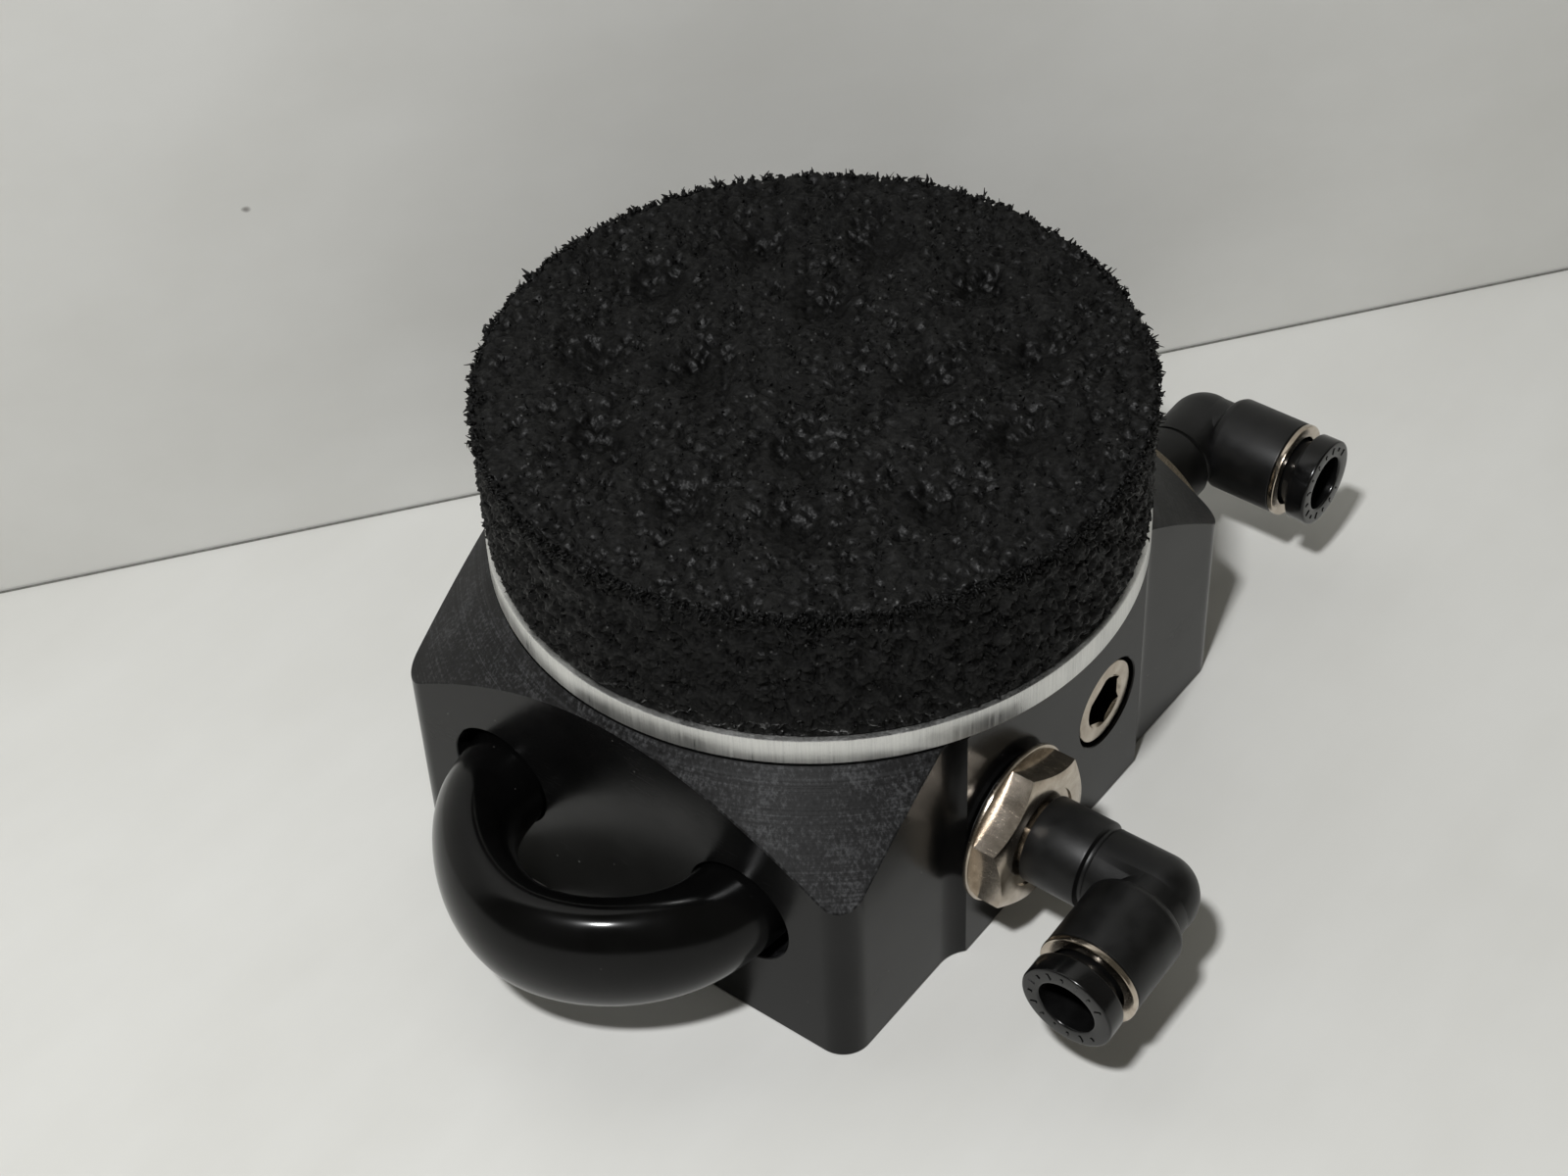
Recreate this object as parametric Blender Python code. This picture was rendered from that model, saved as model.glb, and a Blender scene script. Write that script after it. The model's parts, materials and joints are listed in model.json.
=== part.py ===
"""Foam-pad vacuum gripper: an anodised block that makes its own vacuum, with a sponge pad on a drilled plate.

Frame: the origin is the middle of the mounting face, +Z points from that face towards the foam,
-Y is the side with the loop of hose, and +X is the side with the raised port boss.
"""

from math import asin, cos, degrees, pi, radians, sin, sqrt

import bmesh
import bpy
from mathutils import Matrix, Vector

MM = 0.001
GAP = 0.3 * MM

# Block
BLOCK_HALF_X = 36.9 * MM
BLOCK_HALF_Y = 44.9 * MM
BLOCK_HEIGHT = 41.5 * MM
CORNER_RADIUS = 4.0 * MM
BOSS_X = 38.45 * MM
BOSS_HALF_WIDTH = 21.0 * MM
BOSS_FOOT_HALF_WIDTH = 24.7 * MM
CONE_SLOPE = 1.06
PORT_HEIGHT = 19.2 * MM
PORT_OFFSET_Y = 12.5 * MM
BORE_OFFSET_X = 20.0 * MM
THREAD_HOLE_RADIUS = 6.7 * MM
PLUG_HOLE_RADIUS = 6.75 * MM
HOSE_HOLE_RADIUS = 7.75 * MM
HOSE_HOLE_DEPTH = 14.0 * MM
BORE_RADIUS = 5.2 * MM

# Suction plate, foam and what lies between them and the block
PLATE_RADIUS = 44.0 * MM
PLATE_THICKNESS = 4.0 * MM
PLATE_BOTTOM = BLOCK_HEIGHT + 0.35 * MM
PLATE_TOP = PLATE_BOTTOM + PLATE_THICKNESS
FOAM_RADIUS = 44.2 * MM
FOAM_THICKNESS = 21.5 * MM
CHAMBER_FLOOR = 35.5 * MM
CHAMBER_RADIUS = 32.8 * MM
SCREEN_LEDGE_RADIUS = 33.8 * MM
SCREEN_LEDGE_HEIGHT = 37.0 * MM
GASKET_INNER = 35.0 * MM
GASKET_OUTER = 36.5 * MM
SUCTION_HOLE_RADIUS = 1.6 * MM
OUTER_RING = (11, 28.4 * MM, 140.8)
INNER_RING = (4, 14.4 * MM, 121.0)
SCREW_PLACE = (31.5 * MM, 24.0 * MM)
MOUNT_HOLE_PLACE = (12.0 * MM, 32.0 * MM)

# Screws and mounting holes
SCREW_HOLE_RADIUS = 2.25 * MM
SCREW_HEAD_HOLE_RADIUS = 3.8 * MM
SCREW_HEAD_HOLE_DEPTH = 5.0 * MM
SCREW_HEAD_RADIUS = 3.5 * MM
SCREW_HEAD_LOW = 0.8 * MM
SCREW_HEAD_HIGH = 4.7 * MM
SCREW_SHANK_RADIUS = 1.95 * MM
SCREW_KEY = 3.0 * MM
MOUNT_HOLE_RADIUS = 2.5 * MM
MOUNT_HOLE_DEPTH = 9.0 * MM

# Plug, and what sits in the two long bores
PLUG_RADIUS = 6.2 * MM
PLUG_LENGTH = 8.5 * MM
PLUG_RECESS = 0.4 * MM
PLUG_KEY = 7.0 * MM
PLUG_KEY_DEPTH = 5.0 * MM
PLUG_HOLE_FLOOR = 28.0 * MM
SUPPLY_HOLE_DEPTH = 11.0 * MM
SILENCER_BORE_END = 18.0 * MM
EXHAUST_HOLES_Y = (-5.0 * MM, 3.0 * MM, 11.0 * MM)
INSERT_RADIUS = 4.9 * MM
INSERT_GROOVE_RADIUS = 3.7 * MM
NOZZLE_NOSE = 12.0 * MM
DIFFUSER_LOW = -24.0 * MM
DIFFUSER_HIGH = 9.0 * MM
RISER_Y = 14.0 * MM
VACUUM_RISER_X = 27.2 * MM

# Loop of hose
HOSE_RADIUS = 6.75 * MM
HOSE_BORE = 4.6 * MM
HOSE_REACH = 17.0 * MM
HOSE_HALF_SPAN = 19.1 * MM
HOSE_STRAIGHT = 2.0 * MM
HOSE_HALF_THICKNESS = 5.35 * MM
HOSE_HALF_HEIGHT = 8.55 * MM
HOSE_BEND_POWER = 1.13
HOSE_OVAL_FROM = 0.75

# Push-in elbow fittings: stem and leg are measured out from the port face, the rest along the outlet
FLANGE_RADIUS = 11.2 * MM
FLANGE_LOW = 1.1 * MM
FLANGE_HIGH = 1.9 * MM
NUT_LOW = 1.6 * MM
STEM_LOW = -10.5 * MM
STEM_HIGH = 16.5 * MM
STEM_BORE = 2.6 * MM
STEM_THREAD_RADIUS = 6.4 * MM
STEM_NECK_RADIUS = 4.5 * MM
SWIVEL_GROOVE = (3.4 * MM, 12.0 * MM, 14.4 * MM)
NUT_FACE = 5.95 * MM
NUT_ACROSS_FLATS = 18.8 * MM
NUT_TURN = 35.7
ELBOW_HEIGHT = 23.0 * MM
OUTLET_FACE = 20.6 * MM
BARREL_RADIUS = 7.0 * MM
BARREL_END = 14.8 * MM
BARREL_NECK_RADIUS = 5.6 * MM
SOCKET_RADIUS = 6.1 * MM
SOCKET_FLOOR = 5.2 * MM
AIR_BORE = 2.8 * MM
LEG_RADIUS = 6.05 * MM
CORNER_LEG_RADIUS = 5.7 * MM
TUBE_HOLE_RADIUS = 4.05 * MM
VACUUM_ELBOW_TURN = 4.0
SUPPLY_ELBOW_TURN = 0.0

# Sides of round pieces
SMALL = 10
COARSE = 14
ROUND = 20
BROAD = 32
FINE = 72


def clear_scene():
    for item in list(bpy.data.objects):
        bpy.data.objects.remove(item, do_unlink=True)


def material(name, colour, roughness, metallic=0.0):
    found = bpy.data.materials.get(name)
    if found:
        return found
    made = bpy.data.materials.new(name)
    made.use_nodes = True
    shader = made.node_tree.nodes["Principled BSDF"]
    shader.inputs["Base Color"].default_value = (*colour, 1.0)
    shader.inputs["Roughness"].default_value = roughness
    shader.inputs["Metallic"].default_value = metallic
    return made


def anodised():
    return material("anodised_black", (0.030, 0.031, 0.032), 0.32, 0.6)


def bare_aluminium():
    return material("turned_aluminium", (0.80, 0.80, 0.79), 0.30, 1.0)


def nickel():
    return material("nickel_plate", (0.76, 0.70, 0.62), 0.18, 1.0)


def brass():
    return material("brass", (0.72, 0.52, 0.24), 0.30, 1.0)


def steel():
    return material("steel", (0.55, 0.55, 0.56), 0.28, 1.0)


def black_rubber():
    return material("black_rubber", (0.020, 0.020, 0.020), 0.75)


def sponge():
    return material("sponge_rubber", (0.035, 0.035, 0.034), 0.95)


def elbow_plastic():
    return material("matte_black_plastic", (0.030, 0.030, 0.031), 0.50)


def button_plastic():
    return material("gloss_black_plastic", (0.020, 0.020, 0.022), 0.18)


def hose_plastic():
    return material("gloss_black_hose", (0.012, 0.012, 0.013), 0.10)


def sintered():
    return material("sintered_bronze", (0.50, 0.36, 0.20), 0.60, 0.9)


def circle(radius, segments, centre=(0.0, 0.0)):
    """Corners of a round outline."""
    turns = [2 * pi * step / segments for step in range(segments)]
    return [(centre[0] + radius * cos(turn), centre[1] + radius * sin(turn)) for turn in turns]


def arc(centre, radius, start, end, steps):
    """Points along an arc, both ends included, angles in degrees."""
    angles = [radians(start + (end - start) * step / steps) for step in range(steps + 1)]
    return [(centre[0] + radius * cos(angle), centre[1] + radius * sin(angle)) for angle in angles]


def add_turned(shape, outline, segments, place=Matrix()):
    """Adds the solid that a closed outline of (radius, height) points makes when it is turned about Z."""
    rings = []
    for radius, height in outline:
        if radius < 1e-7:
            rings.append([shape.verts.new(place @ Vector((0.0, 0.0, height)))])
        else:
            ring = [place @ Vector((x, y, height)) for x, y in circle(radius, segments)]
            rings.append([shape.verts.new(point) for point in ring])
    faces = []
    for lower, upper in zip(rings, rings[1:] + rings[:1]):
        if len(lower) == 1 and len(upper) == 1:
            continue
        for first in range(segments):
            second = (first + 1) % segments
            corners = [
                lower[first % len(lower)],
                lower[second % len(lower)],
                upper[second % len(upper)],
                upper[first % len(upper)],
            ]
            faces.append(shape.faces.new(list(dict.fromkeys(corners))))
    bmesh.ops.recalc_face_normals(shape, faces=faces)


def add_prism(shape, outline, low, high, place=Matrix()):
    """Adds the solid between two heights over a closed outline of (x, y) points."""
    bottom = [shape.verts.new(place @ Vector((x, y, low))) for x, y in outline]
    top = [shape.verts.new(place @ Vector((x, y, high))) for x, y in outline]
    faces = [shape.faces.new(bottom[::-1]), shape.faces.new(top)]
    for first in range(len(outline)):
        second = (first + 1) % len(outline)
        faces.append(shape.faces.new((bottom[first], bottom[second], top[second], top[first])))
    bmesh.ops.recalc_face_normals(shape, faces=faces)


def turned(outline, segments, place=Matrix()):
    shape = bmesh.new()
    add_turned(shape, outline, segments, place)
    return shape


def add_rod(shape, radius, low, high, segments, place=Matrix()):
    add_turned(shape, [(0, low), (radius, low), (radius, high), (0, high)], segments, place)


def tube_outline(inner, outer, low, high):
    return [(inner, low), (outer, low), (outer, high), (inner, high)]


def along_x(y, z):
    """A frame whose Z runs along world +X through (0, y, z)."""
    return Matrix.Translation((0, y, z)) @ Matrix.Rotation(pi / 2, 4, "Y")


def along_y(x, z):
    """A frame whose Z runs along world +Y through (x, 0, z)."""
    return Matrix.Translation((x, 0, z)) @ Matrix.Rotation(-pi / 2, 4, "X")


def at(x, y, z=0.0):
    return Matrix.Translation((x, y, z))


def add_object(name, shape, surface=None, parent=None):
    """Makes a named object from a finished shape. Without a surface it is a cutter or a joining shape."""
    mesh = bpy.data.meshes.new(name)
    shape.to_mesh(mesh)
    shape.free()
    mesh.shade_smooth()
    mesh.set_sharp_from_angle(angle=radians(32))
    item = bpy.data.objects.new(name, mesh)
    bpy.context.collection.objects.link(item)
    item.parent = parent
    if surface:
        mesh.materials.append(surface)
    else:
        item.hide_render = True
        item.display_type = "WIRE"
    return item


def boolean(target, tool, operation):
    step = target.modifiers.new(tool.name, "BOOLEAN")
    step.operation = operation
    step.solver = "EXACT"
    step.object = tool


def frame(name, place, parent=None):
    empty = bpy.data.objects.new(name, None)
    bpy.context.collection.objects.link(empty)
    empty.parent = parent
    empty.matrix_local = place
    return empty


def block_outline():
    """Plan of the block: round corners, and the port boss on +X with a concave foot on each side."""
    x_centre = BLOCK_HALF_X - CORNER_RADIUS
    y_centre = BLOCK_HALF_Y - CORNER_RADIUS
    proud = BOSS_X - BLOCK_HALF_X
    width = BOSS_FOOT_HALF_WIDTH - BOSS_HALF_WIDTH
    foot_radius = (width**2 + proud**2) / (2 * proud)
    foot_centre = (BLOCK_HALF_X + foot_radius, BOSS_FOOT_HALF_WIDTH)
    foot_sweep = degrees(asin(width / foot_radius))
    upper_foot = arc(foot_centre, foot_radius, 180, 180 + foot_sweep, 5)
    points = arc((x_centre, -y_centre), CORNER_RADIUS, -90, 0, 6)
    points += [(x, -y) for x, y in upper_foot]
    points += upper_foot[::-1]
    points += arc((x_centre, y_centre), CORNER_RADIUS, 0, 90, 6)
    points += arc((-x_centre, y_centre), CORNER_RADIUS, 90, 180, 6)
    points += arc((-x_centre, -y_centre), CORNER_RADIUS, 180, 270, 6)
    return points


def ring_places(count, radius, first_angle):
    step = 360 / count
    angles = [radians(first_angle - step * turn) for turn in range(count)]
    return [(radius * cos(angle), radius * sin(angle)) for angle in angles]


def four_places(x, y):
    return [(x, y), (-x, y), (-x, -y), (x, -y)]


def make_body():
    shape = bmesh.new()
    add_prism(shape, block_outline(), 0.0, BLOCK_HEIGHT)
    body = add_object("body", shape, anodised())
    outside = 75 * MM
    below = -5 * MM
    cone = [
        (0, below),
        (outside, below),
        (outside, BLOCK_HEIGHT - (outside - PLATE_RADIUS) * CONE_SLOPE),
        (PLATE_RADIUS, BLOCK_HEIGHT),
        (0, BLOCK_HEIGHT),
    ]
    boolean(body, add_object("turning_limit", turned(cone, FINE)), "INTERSECT")
    boolean(body, add_object("main_bores", main_bores()), "DIFFERENCE")
    boolean(body, add_object("cross_bores", cross_bores()), "DIFFERENCE")
    boolean(body, add_object("vacuum_riser", vacuum_riser()), "DIFFERENCE")


def main_bores():
    """Chamber, gasket groove, the two long bores, screw holes and mounting holes: none of these touch."""
    shape = bmesh.new()
    above = BLOCK_HEIGHT + 2 * MM
    chamber = [
        (0, CHAMBER_FLOOR),
        (CHAMBER_RADIUS, CHAMBER_FLOOR),
        (CHAMBER_RADIUS, SCREEN_LEDGE_HEIGHT),
        (SCREEN_LEDGE_RADIUS, SCREEN_LEDGE_HEIGHT),
        (SCREEN_LEDGE_RADIUS, above),
        (0, above),
    ]
    add_turned(shape, chamber, BROAD)
    groove = tube_outline(GASKET_INNER - GAP, GASKET_OUTER + GAP, BLOCK_HEIGHT - 1.4 * MM, above)
    add_turned(shape, groove, BROAD)
    front = -BLOCK_HALF_Y
    hose_floor = front + HOSE_HOLE_DEPTH
    supply_floor = BLOCK_HALF_Y - SUPPLY_HOLE_DEPTH
    beyond = 5 * MM
    ejector_bore = [
        (0, front - beyond),
        (HOSE_HOLE_RADIUS, front - beyond),
        (HOSE_HOLE_RADIUS, hose_floor),
        (BORE_RADIUS, hose_floor),
        (BORE_RADIUS, supply_floor),
        (THREAD_HOLE_RADIUS, supply_floor),
        (THREAD_HOLE_RADIUS, BLOCK_HALF_Y + beyond),
        (0, BLOCK_HALF_Y + beyond),
    ]
    add_turned(shape, ejector_bore, ROUND, along_y(BORE_OFFSET_X, PORT_HEIGHT))
    silencer_bore = ejector_bore[:4] + [(BORE_RADIUS, SILENCER_BORE_END), (0, SILENCER_BORE_END)]
    add_turned(shape, silencer_bore, ROUND, along_y(-BORE_OFFSET_X, PORT_HEIGHT))
    screw_hole = [
        (0, -beyond),
        (SCREW_HEAD_HOLE_RADIUS, -beyond),
        (SCREW_HEAD_HOLE_RADIUS, SCREW_HEAD_HOLE_DEPTH),
        (SCREW_HOLE_RADIUS, SCREW_HEAD_HOLE_DEPTH),
        (SCREW_HOLE_RADIUS, above),
        (0, above),
    ]
    for x, y in four_places(*SCREW_PLACE):
        add_turned(shape, screw_hole, SMALL, at(x, y))
    for x, y in four_places(*MOUNT_HOLE_PLACE):
        add_rod(shape, MOUNT_HOLE_RADIUS, -beyond, MOUNT_HOLE_DEPTH, SMALL, at(x, y))
    return shape


def cross_bores():
    """Port holes in the boss, the riser from the ejector to the chamber, and the exhaust holes."""
    shape = bmesh.new()
    past_face = BOSS_X + 5 * MM
    vacuum_floor = 26.6 * MM
    passage_radius = 2.5 * MM
    passage_end = 24 * MM
    add_rod(shape, THREAD_HOLE_RADIUS, vacuum_floor, past_face, ROUND, along_x(-PORT_OFFSET_Y, PORT_HEIGHT))
    plug_hole = [
        (0, passage_end),
        (passage_radius, passage_end),
        (passage_radius, PLUG_HOLE_FLOOR),
        (PLUG_HOLE_RADIUS, PLUG_HOLE_FLOOR),
        (PLUG_HOLE_RADIUS, past_face),
        (0, past_face),
    ]
    add_turned(shape, plug_hole, BROAD, along_x(PORT_OFFSET_Y, PORT_HEIGHT))
    riser_radius = 3 * MM
    add_rod(shape, riser_radius, PORT_HEIGHT, CHAMBER_FLOOR + 1 * MM, SMALL, at(BORE_OFFSET_X, RISER_Y))
    exhaust_radius = 2 * MM
    exhaust_start = -BLOCK_HALF_X - 5 * MM
    exhaust_end = -BORE_OFFSET_X - 2 * MM
    for y in EXHAUST_HOLES_Y:
        add_rod(shape, exhaust_radius, exhaust_start, exhaust_end, SMALL, along_x(y, PORT_HEIGHT))
    return shape


def vacuum_riser():
    """The way up from the vacuum port to the chamber."""
    shape = bmesh.new()
    radius = 1.8 * MM
    add_rod(shape, radius, PORT_HEIGHT, CHAMBER_FLOOR + 1 * MM, SMALL, at(VACUUM_RISER_X, -PORT_OFFSET_Y))
    return shape


def make_suction_plate():
    solid = bmesh.new()
    add_rod(solid, PLATE_RADIUS, PLATE_BOTTOM, PLATE_TOP, FINE)
    plate = add_object("suction_plate", solid, bare_aluminium())
    low = PLATE_BOTTOM - 2 * MM
    high = PLATE_TOP + 2 * MM
    holes = bmesh.new()
    for x, y in ring_places(*OUTER_RING) + ring_places(*INNER_RING):
        add_rod(holes, SUCTION_HOLE_RADIUS, low, high, 8, at(x, y))
    for x, y in four_places(*SCREW_PLACE):
        add_rod(holes, SCREW_HOLE_RADIUS, low, high, SMALL, at(x, y))
    boolean(plate, add_object("plate_holes", holes), "DIFFERENCE")


def make_plate_gasket():
    low = BLOCK_HEIGHT - 1.1 * MM
    outline = tube_outline(GASKET_INNER, GASKET_OUTER, low, PLATE_BOTTOM - 0.1 * MM)
    add_object("plate_gasket", turned(outline, BROAD), black_rubber())


def make_foam_pad():
    low = PLATE_TOP + 0.15 * MM
    high = PLATE_TOP + FOAM_THICKNESS
    rim = 1.5 * MM
    side = [(0, low), (FOAM_RADIUS - 0.6 * MM, low), (FOAM_RADIUS, high - rim)]
    crown = [(FOAM_RADIUS - 0.45 * MM, high - 0.45 * MM), (FOAM_RADIUS - rim, high), (0, high)]
    add_object("foam_pad", turned(side + crown, 48), sponge())


def make_filter_screen():
    low = SCREEN_LEDGE_HEIGHT + GAP
    outline = [(0, low), (SCREEN_LEDGE_RADIUS - GAP, low)]
    outline += [(radius, low + 0.6 * MM) for radius, _ in outline[::-1]]
    screen = add_object("filter_screen", turned(outline, BROAD), steel())
    holes = bmesh.new()
    for count, radius in ((4, 8 * MM), (9, 23 * MM)):
        for x, y in ring_places(count, radius, 0.0):
            add_rod(holes, 4.5 * MM, low - 2 * MM, low + 3 * MM, 8, at(x, y))
    boolean(screen, add_object("screen_holes", holes), "DIFFERENCE")


def make_plate_screws():
    """Long cap screws from the mounting side up into the plate."""
    tip = PLATE_TOP - 0.5 * MM
    outline = [
        (0, SCREW_HEAD_LOW),
        (SCREW_HEAD_RADIUS - GAP, SCREW_HEAD_LOW),
        (SCREW_HEAD_RADIUS, SCREW_HEAD_LOW + GAP),
        (SCREW_HEAD_RADIUS, SCREW_HEAD_HIGH),
        (SCREW_SHANK_RADIUS, SCREW_HEAD_HIGH),
        (SCREW_SHANK_RADIUS, tip),
        (0, tip),
    ]
    socket = bmesh.new()
    key = circle(SCREW_KEY / sqrt(3), 6)
    add_prism(socket, key, SCREW_HEAD_LOW - 2 * MM, SCREW_HEAD_LOW + 2 * MM)
    socket_mesh = add_object("screw_socket", socket)
    for number, (x, y) in enumerate(four_places(*SCREW_PLACE), start=1):
        place = at(x, y)
        screw = add_object(f"plate_screw_{number}", turned(outline, SMALL), steel())
        screw.matrix_world = place
        cutter = bpy.data.objects.new(f"screw_socket_{number}", socket_mesh.data)
        bpy.context.collection.objects.link(cutter)
        cutter.hide_render = True
        cutter.display_type = "WIRE"
        cutter.matrix_world = place
        boolean(screw, cutter, "DIFFERENCE")


def hose_path():
    """Centre line of the hose from one hole to the other, and how far each point is bent, 0 to 1."""
    face = -BLOCK_HALF_Y
    lean = (BORE_OFFSET_X - HOSE_HALF_SPAN) / 11.0
    ends = [(HOSE_HALF_SPAN + lean * depth, face + depth * MM) for depth in (11, 7, 3, 0)]
    steps = 16
    points = [(-x, y, 0.0) for x, y in ends]
    for step in range(steps + 1):
        angle = pi * step / steps
        along = cos(angle)
        reach = sin(angle) ** HOSE_BEND_POWER if 0 < step < steps else 0.0
        x = -HOSE_HALF_SPAN * abs(along) ** HOSE_BEND_POWER * (1 if along > 0 else -1)
        y = face - HOSE_STRAIGHT - HOSE_REACH * reach
        points.append((x, y, sin(min(1.0, reach / HOSE_OVAL_FROM) * pi / 2)))
    points += [(x, y, 0.0) for x, y in ends[::-1]]
    return points


def hose_section(half_thickness, half_height, segments):
    """Corners of an oval: the first number is across the hose in the plane of the bend, the second is up."""
    turns = [2 * pi * step / segments for step in range(segments)]
    return [(half_thickness * cos(turn), half_height * sin(turn)) for turn in turns]


def blend(start, end, amount):
    return start + (end - start) * amount


def make_link_hose():
    """A hose bent this tightly goes oval: thinner in the plane of the bend and taller across it."""
    path = hose_path()
    wall = HOSE_RADIUS - HOSE_BORE
    segments = 18
    shape = bmesh.new()
    skins = ([], [])
    for index, (x, y, bent) in enumerate(path):
        before = path[max(index - 1, 0)]
        after = path[min(index + 1, len(path) - 1)]
        ahead = Vector((after[0] - before[0], after[1] - before[1], 0)).normalized()
        across = Vector((ahead.y, -ahead.x, 0))
        half_thickness = blend(HOSE_RADIUS, HOSE_HALF_THICKNESS, bent)
        half_height = blend(HOSE_RADIUS, HOSE_HALF_HEIGHT, bent)
        for skin, inset in zip(skins, (0.0, wall)):
            section = hose_section(half_thickness - inset, half_height - inset, segments)
            centre = Vector((x, y, PORT_HEIGHT))
            ring = [centre + across * width + Vector((0, 0, height)) for width, height in section]
            skin.append([shape.verts.new(point) for point in ring])
    for skin in skins:
        for near, far in zip(skin, skin[1:]):
            for first in range(segments):
                second = (first + 1) % segments
                shape.faces.new((near[first], near[second], far[second], far[first]))
    for end in (0, -1):
        outer, inner = skins[0][end], skins[1][end]
        for first in range(segments):
            second = (first + 1) % segments
            shape.faces.new((outer[first], outer[second], inner[second], inner[first]))
    bmesh.ops.recalc_face_normals(shape, faces=shape.faces)
    add_object("link_hose", shape, hose_plastic())


def make_hose_spigots():
    """Barbed stems at the bottom of the two hose holes."""
    floor = -BLOCK_HALF_Y + HOSE_HOLE_DEPTH
    outline = [
        (2.6 * MM, floor - 9.2 * MM),
        (3.6 * MM, floor - 9.2 * MM),
        (4.1 * MM, floor - 7.2 * MM),
        (3.7 * MM, floor - 7.0 * MM),
        (3.7 * MM, floor - 2.4 * MM),
        (7.0 * MM, floor - 2.4 * MM),
        (7.0 * MM, floor - GAP),
        (4.9 * MM, floor - GAP),
        (4.9 * MM, floor + 5.5 * MM),
        (2.6 * MM, floor + 5.5 * MM),
    ]
    for side, x in (("left", -BORE_OFFSET_X), ("right", BORE_OFFSET_X)):
        shape = turned(outline, COARSE, along_y(x, PORT_HEIGHT))
        add_object(f"hose_spigot_{side}", shape, brass())


def make_port_plug():
    face = BOSS_X - PLUG_RECESS
    lead = 0.8 * MM
    outline = [
        (0, face - PLUG_LENGTH),
        (PLUG_RADIUS - lead, face - PLUG_LENGTH),
        (PLUG_RADIUS, face - PLUG_LENGTH + lead),
        (PLUG_RADIUS, face),
        (0, face),
    ]
    place = along_x(PORT_OFFSET_Y, PORT_HEIGHT)
    plug = add_object("port_plug", turned(outline, BROAD, place), nickel())
    socket = bmesh.new()
    add_prism(socket, circle(PLUG_KEY / sqrt(3), 6), face - PLUG_KEY_DEPTH, face + 3 * MM, place)
    boolean(plug, add_object("plug_socket", socket), "DIFFERENCE")


def make_ejector():
    """Nozzle and receiver in the long bore, with the gap between them open to the chamber."""
    place = along_y(BORE_OFFSET_X, PORT_HEIGHT)
    throat = 0.8 * MM
    nozzle = [
        (1.3 * MM, NOZZLE_NOSE),
        (2.4 * MM, NOZZLE_NOSE + 6 * MM),
        (INSERT_RADIUS, NOZZLE_NOSE + 7.5 * MM),
        (INSERT_RADIUS, NOZZLE_NOSE + 11 * MM),
        (INSERT_GROOVE_RADIUS, NOZZLE_NOSE + 11 * MM),
        (INSERT_GROOVE_RADIUS, NOZZLE_NOSE + 13.4 * MM),
        (INSERT_RADIUS, NOZZLE_NOSE + 13.4 * MM),
        (INSERT_RADIUS, NOZZLE_NOSE + 20 * MM),
        (3.3 * MM, NOZZLE_NOSE + 20 * MM),
        (throat, NOZZLE_NOSE + 5 * MM),
    ]
    add_object("ejector_nozzle", turned(nozzle, COARSE, place), brass())
    add_insert_seal("nozzle_seal", NOZZLE_NOSE + 12.2 * MM, place)
    receiver = 1.5 * MM
    diffuser = [
        (3.4 * MM, DIFFUSER_LOW),
        (INSERT_RADIUS, DIFFUSER_LOW),
        (INSERT_RADIUS, -2.4 * MM),
        (INSERT_GROOVE_RADIUS, -2.4 * MM),
        (INSERT_GROOVE_RADIUS, 0),
        (INSERT_RADIUS, 0),
        (INSERT_RADIUS, DIFFUSER_HIGH),
        (3.6 * MM, DIFFUSER_HIGH),
        (receiver, 3 * MM),
        (receiver, -8 * MM),
    ]
    add_object("ejector_diffuser", turned(diffuser, COARSE, place), brass())
    add_insert_seal("diffuser_seal", -1.2 * MM, place)


def add_insert_seal(name, middle, place):
    half_width = 0.8 * MM
    ring = tube_outline(INSERT_GROOVE_RADIUS + GAP, 4.95 * MM, middle - half_width, middle + half_width)
    add_object(name, turned(ring, COARSE, place), black_rubber())


def make_silencer():
    core = tube_outline(2.6 * MM, 4.8 * MM, -20 * MM, 15 * MM)
    add_object("silencer_core", turned(core, COARSE, along_y(-BORE_OFFSET_X, PORT_HEIGHT)), sintered())


def nut_shape():
    """Hexagon of the stem with its outer corners turned off."""
    corner = NUT_ACROSS_FLATS / sqrt(3)
    shape = bmesh.new()
    add_prism(shape, circle(corner, 6), NUT_LOW, NUT_FACE, Matrix.Rotation(radians(NUT_TURN), 4, "Z"))
    return shape


def nut_limit():
    flat_edge = NUT_ACROSS_FLATS / 2 + 0.1 * MM
    corner = NUT_ACROSS_FLATS / sqrt(3) + 0.1 * MM
    drop = (corner - flat_edge) * 0.55
    outline = [(0, 0), (corner, 0), (corner, NUT_FACE - drop), (flat_edge, NUT_FACE), (0, NUT_FACE)]
    return turned(outline, BROAD)


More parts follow.
